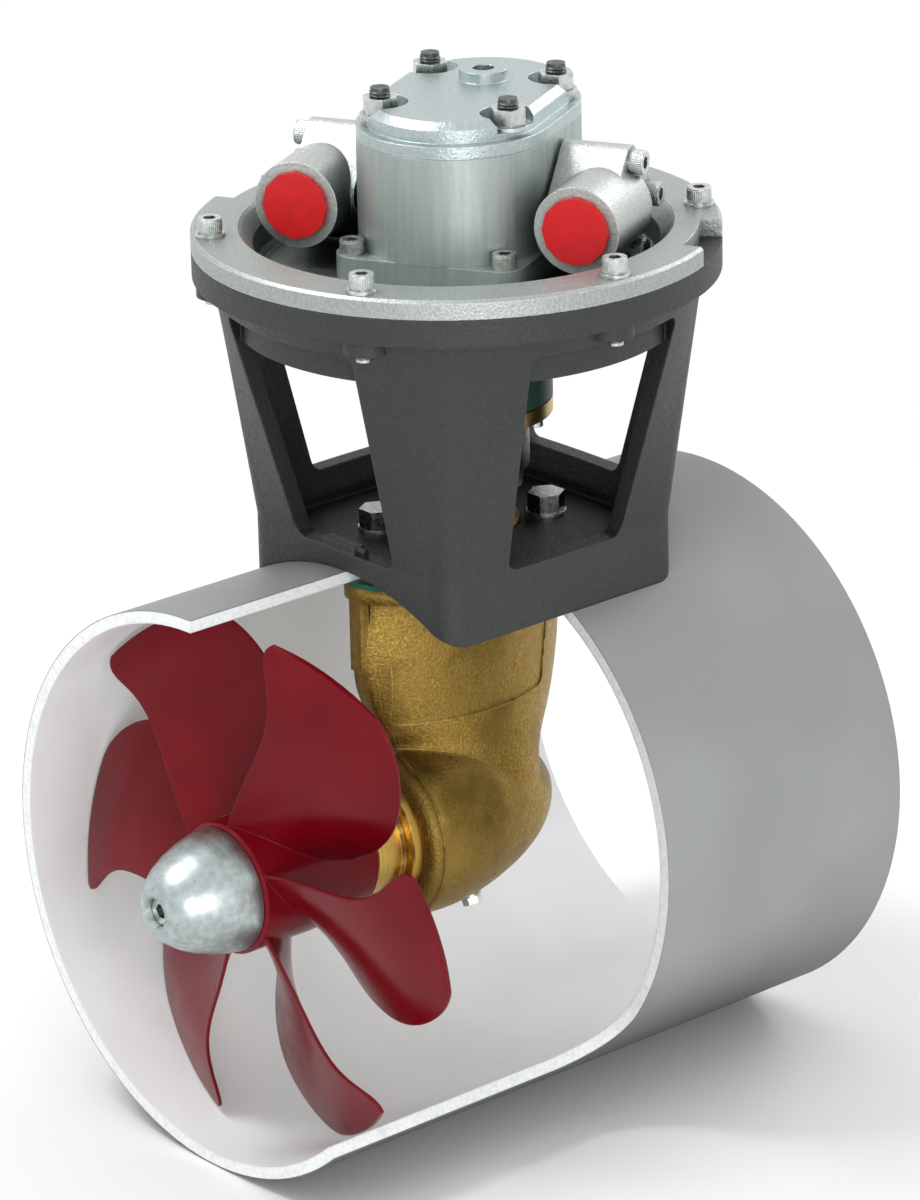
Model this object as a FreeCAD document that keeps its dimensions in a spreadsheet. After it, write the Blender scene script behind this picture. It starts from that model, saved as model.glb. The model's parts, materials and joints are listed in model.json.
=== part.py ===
"""Hydraulic tunnel thruster on a cut-away length of tunnel.

Millimetres, +Z up. The origin is where the tunnel axis (Y) meets the axis of the vertical drive shaft (Z).
The propeller is on the -Y side, which is called forward below. The hydraulic motor is turned about Z.
"""
import FreeCAD, Part
import math
import os

from FreeCAD import Placement, Rotation, Vector

os.makedirs("parts", exist_ok=True)
doc = FreeCAD.newDocument("TunnelThruster")
sheet = doc.addObject("Spreadsheet::Sheet", "Sizes")

# Driving sizes in millimetres and degrees: alias, value, what it is
SIZES = [
    ("tunnel_bore", 150.0, "inside radius of the tunnel"),
    ("tunnel_wall", 7.0, "laminate thickness of the tunnel"),
    ("tunnel_front", 188.5, "tunnel length ahead of the leg axis"),
    ("tunnel_rear", 178.0, "tunnel length behind the leg axis"),
    ("cutaway_rear", 4.5, "how far behind the leg axis the cut-away reaches"),
    ("cutaway_low", 48.0, "angle of the cut-away's lower edge under the horizontal"),
    ("cutaway_corner", 42.0, "radius of the cut-away's rear corner"),
    ("saddle_half", 83.0, "half width of the bracket's square foot"),
    ("saddle_corner", 15.0, "corner radius of the bracket's foot"),
    ("bracket_wall", 10.0, "wall of the bracket casting"),
    ("bracket_floor", 8.0, "floor thickness over the tunnel's crown"),
    ("bracket_knee", 170.0, "height where the bracket starts to widen"),
    ("bracket_neck_top", 309.0, "height of the underside of the bracket's flange"),
    ("bracket_throat", 131.0, "outside radius of the bracket under its flange"),
    ("flange_rim", 141.0, "radius of the bracket flange and the motor bowl"),
    ("flange_thick", 15.0, "thickness of the bracket's flange"),
    ("flange_bore", 112.0, "bore of the bracket's flange"),
    ("collar_wall", 7.0, "wall of the collar under the flange"),
    ("collar_drop", 28.0, "how far the collar hangs under the flange"),
    ("window_sill", 167.5, "height of the lower edge of the front and right windows"),
    ("high_window_sill", 183.0, "height of the lower edge of the rear and left windows"),
    ("lug_length", 27.0, "length of the lug on the front window's sill"),
    ("lug_width", 7.0, "width of that lug"),
    ("lug_rise", 4.0, "height of that lug over the sill"),
    ("window_drop", 12.0, "from the bracket's flange down to the windows' upper edge"),
    ("window_half_low", 40.0, "half width of a window at its sill"),
    ("window_half_high", 51.0, "half width of a window at its head"),
    ("window_corner", 7.0, "corner radius of the windows"),
    ("boss_half", 12.5, "radius of the bosses under the flange"),
    ("boss_drop", 8.0, "height of the bosses under the flange"),
    ("ring_pitch", 131.0, "pitch radius of the ring screws"),
    ("ring_screw", 4.0, "radius of the ring screws' thread"),
    ("ring_screw_proud", 4.0, "thread that a ring screw shows under its boss"),
    ("ring_start", -2.5, "angle of the first ring screw"),
    ("screw_clearance", 0.4, "radial clearance of a screw in its hole"),
    ("bowl_ring", 10.2, "thickness of the motor bowl's ring"),
    ("bowl_lip", 116.0, "inside radius of the bowl at its top"),
    ("bowl_inner", 105.0, "inside radius of the bowl at its floor"),
    ("bowl_depth", 24.2, "depth of the bowl from its top face"),
    ("bowl_floor", 12.0, "thickness of the bowl's floor"),
    ("spigot_clearance", 0.3, "radial clearance of turned spigots in their seats"),
    ("notch_depth", 12.0, "depth of the two notches in the bowl's rim"),
    ("pilot_round", 41.27, "radius of the motor's pilot"),
    ("pilot_depth", 8.0, "height of the motor's pilot"),
    ("motor_turn", 27.75, "turn of the motor about the shaft axis"),
    ("motor_round", 52.0, "radius of the motor body's round ends"),
    ("gear_centres", 44.0, "distance between the two motor gears"),
    ("motor_flange_thick", 14.0, "thickness of the motor's front flange"),
    ("motor_body_height", 58.0, "height of the gear body"),
    ("motor_band", 7.0, "height of the cover's lower band"),
    ("motor_lid", 11.0, "height of the cover's domed lid"),
    ("lid_inset", 6.0, "step from the motor body to the lid"),
    ("bush_front", 10.0, "thickness of the front bearing block"),
    ("bush_rear", 12.0, "thickness of the rear bearing block"),
    ("motor_gear_tip", 25.3, "tip radius of the motor gears"),
    ("motor_gear_root", 17.8, "root radius of the motor gears"),
    ("motor_gear_gap", 0.25, "gap between the gears and the bearing blocks"),
    ("chamber_clearance", 0.3, "radial clearance of the gears in the body"),
    ("motor_journal", 11.0, "radius of the motor gears' journals"),
    ("running_clearance", 0.05, "radial clearance of a shaft in its bearing"),
    ("stud_half", 36.0, "half spacing of the tie studs"),
    ("stud_round", 5.0, "radius of a tie stud"),
    ("stud_rise", 5.0, "thread showing above a stud nut"),
    ("stud_nut", 9.8, "corner radius of a stud nut"),
    ("stud_nut_height", 9.0, "height of a stud nut"),
    ("stud_washer", 11.0, "radius of a stud washer"),
    ("washer_thick", 2.0, "thickness of the plain washers"),
    ("scallop", 15.0, "radius of the lid's scallops round the studs"),
    ("drain_boss", 13.0, "radius of the case drain boss"),
    ("drain_boss_rise", 6.0, "height of the case drain boss above the lid"),
    ("drain_thread", 6.0, "radius of the case drain hole"),
    ("drain_depth", 12.0, "depth of the case drain hole"),
    ("port_height", 20.0, "height of the ports above the gear body's foot"),
    ("port_passage", 10.0, "radius of the passage into the gear body"),
    ("elbow_block", 37.0, "length of the elbow's flange block"),
    ("elbow_pitch", 24.0, "pitch radius of the elbow screws"),
    ("elbow_lobe", 9.0, "radius of the elbow block's corners"),
    ("elbow_pipe", 23.5, "outside radius of the elbow's pipe"),
    ("elbow_offset", 27.0, "pipe axis from the motor body's side"),
    ("elbow_reach", 52.0, "pipe face from the port axis"),
    ("elbow_bore", 17.1, "radius of the hose connection's bore"),
    ("elbow_screw", 4.0, "radius of an elbow screw"),
    ("flange_screw", 4.0, "radius of a motor flange screw"),
    ("coupling_screw", 3.0, "radius of a coupling screw"),
    ("elbow_thread", 8.0, "depth of an elbow screw's thread in the motor"),
    ("port_seal", 2.0, "thickness of a port seal"),
    ("plug_rim", 16.8, "radius of a port plug"),
    ("plug_depth", 14.0, "depth of a port plug in its bore"),
    ("plug_proud", 3.0, "how far a port plug stands out"),
    ("coupling_round", 50.0, "radius of the flexible coupling"),
    ("coupling_gap", 12.0, "gap between the coupling and the motor's pilot"),
    ("coupling_length", 53.0, "length of the upper half with the flexible sleeve"),
    ("coupling_cap", 8.0, "thickness of the upper half's flange"),
    ("coupling_hub", 22.0, "radius of the upper half's hub"),
    ("sleeve_inside", 32.0, "inside radius of the flexible sleeve"),
    ("coupling_ring_thick", 8.0, "thickness of the plated ring"),
    ("coupling_pitch", 42.0, "pitch radius of the coupling screws"),
    ("lower_flange", 37.0, "radius of the lower half's flange"),
    ("lower_clamp", 33.0, "radius of the lower half's clamp"),
    ("lower_hub", 25.0, "radius of the lower half's hub"),
    ("lower_hub_foot", 174.0, "height of the lower half's foot"),
    ("motor_shaft", 12.5, "radius of the motor's shaft"),
    ("leg_shaft", 9.5, "radius of the vertical shaft between its bearings"),
    ("bearing_bore", 8.5, "bore radius of the vertical shaft's bearings"),
    ("bearing_rim", 20.0, "outside radius of the vertical shaft's bearings"),
    ("bearing_width", 12.0, "width of the bearings"),
    ("pinion_bearing_foot", 40.0, "height of the pinion bearing's foot"),
    ("upper_bearing_foot", 150.0, "height of the upper bearing's foot"),
    ("seal_width", 4.0, "width of the shaft seals"),
    ("leg_spigot", 31.0, "radius of the leg's spigot through the tunnel"),
    ("leg_top", 168.0, "height of the leg's spigot"),
    ("gasket_thick", 3.0, "thickness of the leg gasket"),
    ("leg_flange_thick", 8.0, "thickness of the leg's flange"),
    ("leg_flange_half_y", 79.0, "half length of the leg's flange along the tunnel"),
    ("leg_flange_half_x", 36.0, "half width of the leg's flange"),
    ("flange_lead", 4.0, "how far the leg's flange passes the neck's leading edge"),
    ("flange_trail", 13.0, "how far the leg's flange passes the neck's trailing edge"),
    ("neck_waist", 43.0, "neck's trailing edge behind the shaft axis, where it meets the gearcase"),
    ("panel_depth", 1.4, "depth of the panels sunk in the neck's sides"),
    ("panel_border", 11.0, "border left round the neck's panels"),
    ("neck_half", 27.0, "half thickness of the neck"),
    ("neck_rim", 5.0, "half width of the rim on the leading edge"),
    ("case_round", 50.0, "radius of the gearcase behind its front cap"),
    ("case_front", 59.0, "front face of the gearcase"),
    ("case_cavity", 35.5, "radius of the gear cavity"),
    ("leg_bolt_x", 22.0, "leg bolts from the shaft axis, across the tunnel"),
    ("leg_bolt_y", 41.0, "leg bolts from the shaft axis, along the tunnel"),
    ("leg_bolt", 6.0, "radius of a leg bolt"),
    ("leg_bolt_head", 10.4, "corner radius of a leg bolt's head"),
    ("leg_bolt_head_height", 10.0, "height of a leg bolt's head"),
    ("prop_shaft", 10.0, "radius of the propeller shaft"),
    ("prop_bearing_rim", 21.0, "outside radius of the propeller shaft's bearings"),
    ("front_bearing_rear", 46.0, "rear face of the front bearing, forward of the leg axis"),
    ("rear_bearing_front", 16.0, "front face of the rear bearing, behind the leg axis"),
    ("cap_round", 48.0, "radius of the front cap at its seam"),
    ("cap_length", 7.0, "length of the front cap outside the gearcase"),
    ("carrier_rim", 38.0, "radius of the seal carrier's flange"),
    ("carrier_barrel", 30.0, "radius of the seal carrier's barrel"),
    ("carrier_flange", 6.0, "thickness of the seal carrier's flange"),
    ("carrier_length", 25.0, "length of the seal carrier"),
    ("carrier_bore", 17.0, "bore radius of the seal carrier"),
    ("wheel_pitch", 30.0, "pitch radius of the bevel wheel"),
    ("pinion_pitch", 15.0, "pitch radius of the bevel pinion"),
    ("bevel_face", 9.0, "face width of the bevel teeth"),
    ("bevel_addendum", 2.2, "tooth height above the pitch line"),
    ("bevel_dedendum", 3.0, "tooth depth under the pitch line"),
    ("bevel_tooth", 3.2, "tooth thickness on the pitch line"),
    ("hub_gap", 1.0, "gap between the seal carrier and the propeller hub"),
    ("hub_length", 81.0, "length of the propeller hub"),
    ("hub_round", 36.5, "radius of the propeller hub at the nose cone"),
    ("hub_rear_round", 33.5, "radius of the propeller hub at its rear"),
    ("blade_tip", 147.0, "tip radius of the propeller"),
    ("blade_pitch", 240.0, "pitch of the propeller"),
    ("blade_middle", 57.0, "middle of the blades, from the hub's rear face"),
    ("blade_root_thick", 9.0, "blade thickness at the hub"),
    ("blade_flare", 5.0, "thickness that the root fillets add at the hub"),
    ("blade_tip_thick", 3.4, "blade thickness at the tip"),
    ("nose_round", 34.4, "radius of the nose cone at the hub"),
    ("nose_length", 47.0, "length of the nose cone"),
    ("nose_bore", 5.2, "radius of the nose cone's screw hole"),
    ("nose_recess", 8.0, "radius of the recess for the screw head"),
    ("nose_screw", 5.0, "radius of the nose screw"),
    ("drive_pin", 3.0, "radius of the cross pin that drives the propeller"),
    ("drive_pin_half", 22.0, "half length of the cross pin"),
    ("drain_screw", 4.0, "radius of the gearcase drain screw"),
]
BLADES = 6
WHEEL_TEETH = 24
PINION_TEETH = 12
MOTOR_TEETH = 12
RING_SCREWS = 6

# Quarter turns from +X to the windows with the high sill
HIGH_SILLS = (1, 2)

COUPLING_SCREWS = 6

# Feet of the lower coupling half's flange and clamp, as shares of its length
LOWER_FLANGE_SHARE = 0.45
LOWER_CLAMP_SHARE = 0.23

# Share of the blade's span over which its root fillet runs out
FLARE_REACH = 0.16

# Half thickness of a blade's edges
BLADE_EDGE = 0.9

# Blade form: share of the way from hub to tip, angle of the middle, half angle of the chord
BLADE_FORM = [
    (-0.07, 56.0, 32.5), (0.1, 52.5, 30.5), (0.3, 49.5, 27.5), (0.5, 49.0, 24.5), (0.7, 52.0, 22.0),
    (0.86, 58.0, 19.8), (0.95, 62.0, 17.2), (1.0, 64.5, 13.5),
]


class Size(float):
    """A number that remembers the formula over the sheet that gives it."""

    def __new__(cls, value, formula):
        size = float.__new__(cls, value)
        size.formula = formula
        return size

    def __add__(self, other):
        return Size(float(self) + float(other), f"({formula(self)} + {formula(other)})")

    def __radd__(self, other):
        return Size(float(other) + float(self), f"({formula(other)} + {formula(self)})")

    def __sub__(self, other):
        return Size(float(self) - float(other), f"({formula(self)} - {formula(other)})")

    def __rsub__(self, other):
        return Size(float(other) - float(self), f"({formula(other)} - {formula(self)})")

    def __mul__(self, other):
        return Size(float(self) * float(other), f"({formula(self)} * {formula(other)})")

    __rmul__ = __mul__

    def __truediv__(self, other):
        return Size(float(self) / float(other), f"({formula(self)} / {formula(other)})")

    def __neg__(self):
        return Size(-float(self), f"(0 - {formula(self)})")


def formula(value):
    return value.formula if isinstance(value, Size) else f"{float(value):.9g}"


class Table:
    """The sheet's sizes as attributes."""


size = Table()
for row, (alias, value, note) in enumerate(SIZES, start=1):
    sheet.set(f"A{row}", note)
    sheet.set(f"B{row}", str(value))
    sheet.setAlias(f"B{row}", alias)
    setattr(size, alias, Size(value, f"Sizes.{alias}"))
doc.recompute()

nodes = []
ORIGIN = (0, 0, 0)
UP = Rotation()
FORWARD = Rotation(Vector(1, 0, 0), 90)
ALONG_X = Rotation(Vector(0, 1, 0), 90)
ALONG_MINUS_X = Rotation(Vector(0, 1, 0), -90)


def bind(item, name, value):
    """Set a property and tie it to the sheet where the value comes from there."""
    if isinstance(value, Size):
        item.setExpression(name, value.formula)
    elif "." not in name:
        setattr(item, name, value)


def place(item, at=ORIGIN, turn=UP):
    item.Placement = Placement(Vector(*[float(c) for c in at]), turn)
    for axis, coordinate in zip("xyz", at):
        bind(item, f"Placement.Base.{axis}", coordinate)
    return item


def turn_with_motor(item):
    """Turn a finished piece about the shaft axis with the motor."""
    item.Placement = Placement(Vector(), Rotation(Vector(0, 0, 1), float(size.motor_turn)))
    item.setExpression("Placement.Rotation.Angle", size.motor_turn.formula)
    return item


def cylinder(name, radius, height, at=ORIGIN, turn=UP):
    item = doc.addObject("Part::Cylinder", name)
    bind(item, "Radius", radius)
    bind(item, "Height", height)
    return place(item, at, turn)


def hexagon(name, radius, height, at=ORIGIN, turn=UP, sides=6):
    item = doc.addObject("Part::Prism", name)
    item.Polygon = sides
    bind(item, "Circumradius", radius)
    bind(item, "Height", height)
    return place(item, at, turn)


def box(name, length, width, height, at):
    item = doc.addObject("Part::Box", name)
    bind(item, "Length", length)
    bind(item, "Width", width)
    bind(item, "Height", height)
    return place(item, at)


def fuse(name, *pieces):
    item = doc.addObject("Part::MultiFuse", name)
    item.Shapes = list(pieces)
    item.Refine = False
    return item


def common(name, first, second):
    item = doc.addObject("Part::MultiCommon", name)
    item.Shapes = [first, second]
    return item


def cut(name, base, *tools):
    item = doc.addObject("Part::Cut", name)
    item.Base = base
    item.Tool = tools[0] if len(tools) == 1 else fuse(f"{name}_tools", *tools)
    return item


def group(name, pieces):
    item = doc.addObject("Part::Compound", name)
    item.Links = list(pieces)
    return item


def shaped(name, shape):
    """A piece whose form needs surfaces that no primitive gives."""
    item = doc.addObject("Part::Feature", name)
    item.Shape = shape
    return item


def finish(item, label):
    item.Label = label
    nodes.append(item)
    return item


def turned(name, profile, turn=UP):
    """A turned piece: a closed half section of (radius, height) points spun about its own axis."""
    body = doc.addObject("PartDesign::Body", name)
    sketch = body.newObject("Sketcher::SketchObject", f"{name}_section")
    plane = next(f for f in body.Origin.OriginFeatures if f.Role == "XZ_Plane")
    sketch.AttachmentSupport = [(plane, "")]
    sketch.MapMode = "FlatFace"
    spots = [Vector(float(r), float(h), 0) for r, h in profile]
    count = len(spots)
    for n in range(count):
        sketch.addGeometry(Part.LineSegment(spots[n], spots[(n + 1) % count]), False)
    for n in range(count):
        sketch.addConstraint(Sketcher.Constraint("Coincident", n, 2, (n + 1) % count, 1))
    for n, (radius, height) in enumerate(profile):
        for kind, value in (("DistanceX", radius), ("DistanceY", height)):
            mark = sketch.addConstraint(Sketcher.Constraint(kind, -1, 1, n, 1, float(value)))
            if isinstance(value, Size):
                sketch.setExpression(f"Constraints[{mark}]", value.formula)
    doc.recompute()
    spin = body.newObject("PartDesign::Revolution", f"{name}_turned")
    spin.Profile = sketch
    spin.ReferenceAxis = (sketch, ["V_Axis"])
    spin.Angle = 360.0
    return place(body, ORIGIN, turn)


def polar(radius, degrees):
    """Point on a circle about the shaft axis."""
    angle = math.radians(float(degrees))
    return radius * math.cos(angle), radius * math.sin(angle)


def rounded_wire(corners, radii):
    """Closed outline with an arc at each corner."""
    edges = []
    starts = []
    ends = []
    count = len(corners)
    for n, corner in enumerate(corners):
        back = (corners[n - 1] - corner).normalize()
        ahead = (corners[(n + 1) % count] - corner).normalize()
        half = back.getAngle(ahead) / 2
        reach = radii[n] / math.tan(half)
        middle = corner + (back + ahead).normalize() * (radii[n] / math.sin(half) - radii[n])
        first = corner + back * reach
        last = corner + ahead * reach
        starts.append(first)
        ends.append(last)
        edges.append(Part.Arc(first, middle, last).toShape())
    loop = []
    for n in range(count):
        loop.append(edges[n])
        nearest = starts[(n + 1) % count]
        if (ends[n] - nearest).Length > 1e-6:
            loop.append(Part.makeLine(ends[n], nearest))
    return Part.Wire(loop)


def square_wire(half, corner, height):
    h = float(half)
    z = float(height)
    corners = [Vector(h, -h, z), Vector(h, h, z), Vector(-h, h, z), Vector(-h, -h, z)]
    return rounded_wire(corners, [float(corner)] * 4)


def split_circle(radius, height, share):
    """Circle cut into eight arcs that face the corners and sides of a rounded square."""
    r = float(radius)
    z = float(height)

    def spot(angle):
        return Vector(r * math.cos(angle), r * math.sin(angle), z)

    edges = []
    for quarter in range(4):
        corner = math.radians(90 * quarter - 45)
        first, last, after = corner - share, corner + share, corner + math.pi / 2 - share
        edges.append(Part.Arc(spot(first), spot(corner), spot(last)).toShape())
        edges.append(Part.Arc(spot(last), spot((last + after) / 2), spot(after)).toShape())
    return Part.Wire(edges)


def square_to_round(half, corner, low, knee, radius, top):
    """Solid that goes from an upright rounded square to a circle."""
    share = math.radians(45) - math.atan2(float(half) - float(corner), float(half))
    foot = Part.makeLoft([square_wire(half, corner, low), square_wire(half, corner, knee)], True, True)
    sections = [square_wire(half, corner, knee), split_circle(radius, top, share)]
    return foot.fuse(Part.makeLoft(sections, True, True)).removeSplitter()


def stadium_wire(radius, height):
    """Outline round the two motor gear axes."""
    r = float(radius)
    z = float(height)
    far = float(size.gear_centres)
    spots = [Vector(r, 0, z), Vector(r, far, z), Vector(0, far + r, z), Vector(-r, far, z), Vector(-r, 0, z)]
    return Part.Wire([
        Part.makeLine(spots[0], spots[1]),
        Part.Arc(spots[1], spots[2], spots[3]).toShape(),
        Part.makeLine(spots[3], spots[4]),
        Part.Arc(spots[4], Vector(0, -r, z), spots[0]).toShape(),
    ])


def stadium(name, radius, height, foot):
    """Upright block with round ends about the two motor gear axes."""
    first = cylinder(f"{name}_round", radius, height, (0, 0, foot))
    second = cylinder(f"{name}_round_far", radius, height, (0, size.gear_centres, foot))
    middle = box(f"{name}_middle", 2 * radius, size.gear_centres, height, (-radius, 0, foot))
    return fuse(name, first, second, middle)


def socket_screw(name, radius, length, at, turn=UP):
    """Cap screw with a hexagon socket; it starts under its head at the given point."""
    head = cylinder(f"{name}_head", 1.6 * radius, 2 * radius, at, turn)
    shank = cylinder(f"{name}_shank", radius, length, moved(at, turn, -length), turn)
    socket = hexagon(f"{name}_socket", 0.9 * radius, 1.1 * radius, moved(at, turn, 0.95 * radius), turn)
    return cut(name, fuse(f"{name}_solid", head, shank), socket)


def moved(at, turn, distance):
    """The point a distance along a piece's own axis."""
    along = turn.multVec(Vector(0, 0, 1))
    return tuple(c + round(a, 6) * distance if abs(a) > 1e-6 else c for c, a in zip(at, along))


def washer(name, radius, bore, thick, at):
    disc = cylinder(f"{name}_disc", radius, thick, at)
    return cut(name, disc, cylinder(f"{name}_hole", bore, thick, at))


# Heights that several pieces share
tunnel_rim = size.tunnel_bore + size.tunnel_wall
floor_top = tunnel_rim + size.bracket_floor
flange_top = size.bracket_neck_top + size.flange_thick
bowl_top = flange_top + size.bowl_ring
motor_foot = bowl_top - size.bowl_depth
pilot_foot = motor_foot - size.pilot_depth
coupling_top = pilot_foot - size.coupling_gap
coupling_face = coupling_top - size.coupling_length
window_head = size.bracket_neck_top - size.window_drop
neck_lead = size.leg_flange_half_y - size.flange_lead
neck_trail = size.leg_flange_half_y - size.flange_trail
body_foot = motor_foot + size.motor_flange_thick
body_top = body_foot + size.motor_body_height
band_top = body_top + size.motor_band
lid_top = band_top + size.motor_lid
port_z = body_foot + size.port_height
stud_seat = band_top + 3
ring_angles = [float(size.ring_start) + 360 / RING_SCREWS * n for n in range(RING_SCREWS)]
stud_spots = [(u * size.stud_half, size.gear_centres / 2 + v * size.stud_half) for u in (-1,
                                                                                         1) for v in (-1, 1)]
leg_bolt_spots = [(u * size.leg_bolt_x, v * size.leg_bolt_y) for u in (-1, 1) for v in (-1, 1)]


def tunnel():
    length = size.tunnel_front + size.tunnel_rear
    outside = cylinder("tunnel_outside", tunnel_rim, length, (0, size.tunnel_rear, 0), FORWARD)
    inside = cylinder("tunnel_inside", size.tunnel_bore, length, (0, size.tunnel_rear, 0), FORWARD)
    spigot = cylinder("tunnel_spigot_hole", size.leg_spigot + 1, 2 * size.tunnel_wall + 14,
                      (0, 0, size.tunnel_bore - 12))
    holes = []
    for n, (x, y) in enumerate(leg_bolt_spots):
        radius = size.leg_bolt + size.screw_clearance
        holes.append(cylinder(f"tunnel_bolt_hole_{n}", radius, size.tunnel_wall + 30,
                              (x, y, size.tunnel_bore - 20)))
    finish(cut("tunnel_solid", outside, inside, spigot, cutaway(), *holes), "tunnel")


def cutaway():
    """Wedge that opens the tunnel ahead of the leg, from the crown down on the +X side."""
    reach = 1.6 * float(tunnel_rim)
    low = math.radians(float(size.cutaway_low))
    front = float(size.tunnel_front) + 5
    rear = float(size.cutaway_rear)
    corners = [Vector(), Vector(0, 0, reach), Vector(reach, 0, reach)]
    corners.append(Vector(reach, 0, -reach * math.tan(low)))
    wedge = Part.Face(Part.makePolygon(corners + [corners[0]])).extrude(Vector(0, -front, 0))
    behind = Part.Face(Part.makePolygon(corners + [corners[0]])).extrude(Vector(0, rear, 0))
    wedge = wedge.fuse(behind).removeSplitter()
    radius = float(size.cutaway_corner)
    mid = float(tunnel_rim) - float(size.tunnel_wall) / 2
    span = radius / mid
    edge = Vector(math.cos(low), 0, -math.sin(low))
    side = Vector(math.sin(low), 0, math.cos(low))
    return shaped("tunnel_cutaway", wedge.cut(corner_filler(edge, side, mid, span, rear, radius)))


def corner_filler(edge, side, mid, span, rear, radius):
    """What the rounded rear corner leaves standing: a block less the corner's cylinder."""
    long = mid * 1.5
    lift = mid * math.sin(span)
    base = Part.makeBox(long, radius, lift)
    axis_x = edge
    axis_z = side
    axis_y = Vector(0, 1, 0)
    frame = FreeCAD.Matrix(axis_x.x, axis_y.x, axis_z.x, 0, axis_x.y, axis_y.y, axis_z.y, 0,
                           axis_x.z, axis_y.z, axis_z.z, 0, 0, 0, 0, 1)
    round_off = Part.makeCylinder(radius, long, Vector(0, 0, 0), Vector(1, 0, 0))
    filler = base.cut(round_off.translated(Vector(0, 0, lift)))
    placed = Placement(frame)
    filler.Placement = placed
    filler.translate(Vector(0, rear - radius, 0))
    return filler


def window_cutter(sill):
    """Tapered opening with round corners, from just outside the coupling through the wall."""
    sill = float(sill)
    head = float(window_head)
    low = float(size.window_half_low)
    high = float(size.window_half_high)
    start = float(size.saddle_half) - 2 * float(size.bracket_wall)
    corners = [Vector(start, -low, sill), Vector(start, low, sill), Vector(start, high, head),
               Vector(start, -high, head)]
    outline = rounded_wire(corners, [float(size.window_corner)] * 4)
    return Part.Face(outline).extrude(Vector(float(size.flange_rim) - start + 5, 0, 0))


def mounting_bracket():
    wall = size.bracket_wall
    keel = size.tunnel_bore - size.saddle_half / 2
    outer = square_to_round(size.saddle_half, size.saddle_corner, keel, size.bracket_knee,
                            size.bracket_throat, size.bracket_neck_top)
    inner_corner = max(float(size.saddle_corner) - float(wall), 2.0)
    inner = square_to_round(size.saddle_half - wall, inner_corner, floor_top, size.bracket_knee,
                            size.bracket_throat - wall, size.bracket_neck_top)
    shell = outer.cut(inner)
    for quarter in range(4):
        side = window_cutter(size.high_window_sill if quarter in HIGH_SILLS else size.window_sill)
        side.rotate(Vector(), Vector(0, 0, 1), 90 * quarter)
        shell = shell.cut(side)
    casting = shaped("bracket_shell", shell)
    flange = cylinder("bracket_flange", size.flange_rim, size.flange_thick, (0, 0, size.bracket_neck_top))
    collar_foot = size.bracket_neck_top - size.collar_drop
    collar = cylinder("bracket_collar", size.flange_bore + size.collar_wall, size.collar_drop,
                      (0, 0, collar_foot))
    bosses = []
    holes = []
    for n, angle in enumerate(ring_angles):
        x, y = polar(size.ring_pitch - 4, angle)
        foot = size.bracket_neck_top - size.boss_drop
        bosses.append(cylinder(f"bracket_boss_{n}", size.boss_half, size.boss_drop, (x, y, foot)))
        x, y = polar(size.ring_pitch, angle)
        holes.append(cylinder(f"bracket_thread_{n}", size.ring_screw, size.flange_thick + 40,
                              (x, y, foot - 20)))
    for n, (x, y) in enumerate(leg_bolt_spots):
        radius = size.leg_bolt + size.screw_clearance
        holes.append(cylinder(f"bracket_bolt_hole_{n}", radius, 60, (x, y, size.tunnel_bore - 20)))
    lug_foot = size.window_sill - 1
    lug_front = 1 - size.saddle_half
    lug = box("bracket_lug", size.lug_length, size.lug_width, size.lug_rise + 1,
              (-0.75 * size.lug_length, lug_front, lug_foot))
    peg = cylinder("bracket_peg", size.lug_rise / 2, size.lug_width,
                   (0.25 * size.lug_length - 1, lug_front + size.lug_width / 2,
                    size.window_sill + size.lug_rise / 2), ALONG_X)
    solid = fuse("bracket_solid", casting, flange, collar, lug, peg, *bosses)
    bore = cylinder("bracket_bore", size.flange_bore, size.flange_thick + size.collar_drop + 1,
                    (0, 0, collar_foot - 0.5))
    saddle = cylinder("bracket_saddle", tunnel_rim, 4 * size.saddle_half, (0, 2 * size.saddle_half, 0),
                      FORWARD)
    spigot = cylinder("bracket_spigot_hole", size.leg_spigot + size.spigot_clearance, 60,
                      (0, 0, size.tunnel_bore - 20))
    finish(cut("bracket_casting", solid, bore, saddle, spigot, *holes), "mounting_bracket")


def motor_bowl():
    spigot = size.flange_bore - size.spigot_clearance
    bottom = motor_foot - size.bowl_floor
    blank = turned("bowl_turned", [
        (size.pilot_round + size.spigot_clearance / 10, bottom), (spigot - 1, bottom), (spigot, bottom + 1),
        (spigot, flange_top), (size.flange_rim, flange_top), (size.flange_rim, bowl_top - 1.5),
        (size.flange_rim - 1.5, bowl_top), (size.bowl_lip, bowl_top), (size.bowl_lip - 2, bowl_top - 2),
        (spigot - 3.5, flange_top + 1), (size.bowl_inner + 2, motor_foot + 3), (size.bowl_inner - 1,
                                                                                motor_foot),
        (size.pilot_round + size.spigot_clearance / 10, motor_foot)])
    holes = []
    for n, angle in enumerate(ring_angles):
        x, y = polar(size.ring_pitch, angle)
        radius = size.ring_screw + size.screw_clearance
        holes.append(cylinder(f"bowl_hole_{n}", radius, size.bowl_ring + 10, (x, y, flange_top - 5)))
    for n, (x, y) in enumerate(flange_screw_spots()):
        spot = Rotation(Vector(0, 0, 1), float(size.motor_turn)).multVec(Vector(float(x), float(y), 0))
        holes.append(cylinder(f"bowl_thread_{n}", size.flange_screw, size.bowl_floor + 10,
                              (spot.x, spot.y, bottom - 5)))
    for n, (start, stop) in enumerate(((25, 46), (188, 207))):
        holes.append(rim_notch(f"bowl_notch_{n}", start, stop))
    finish(cut("bowl_casting", blank, *holes), "motor_bowl")


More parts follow.
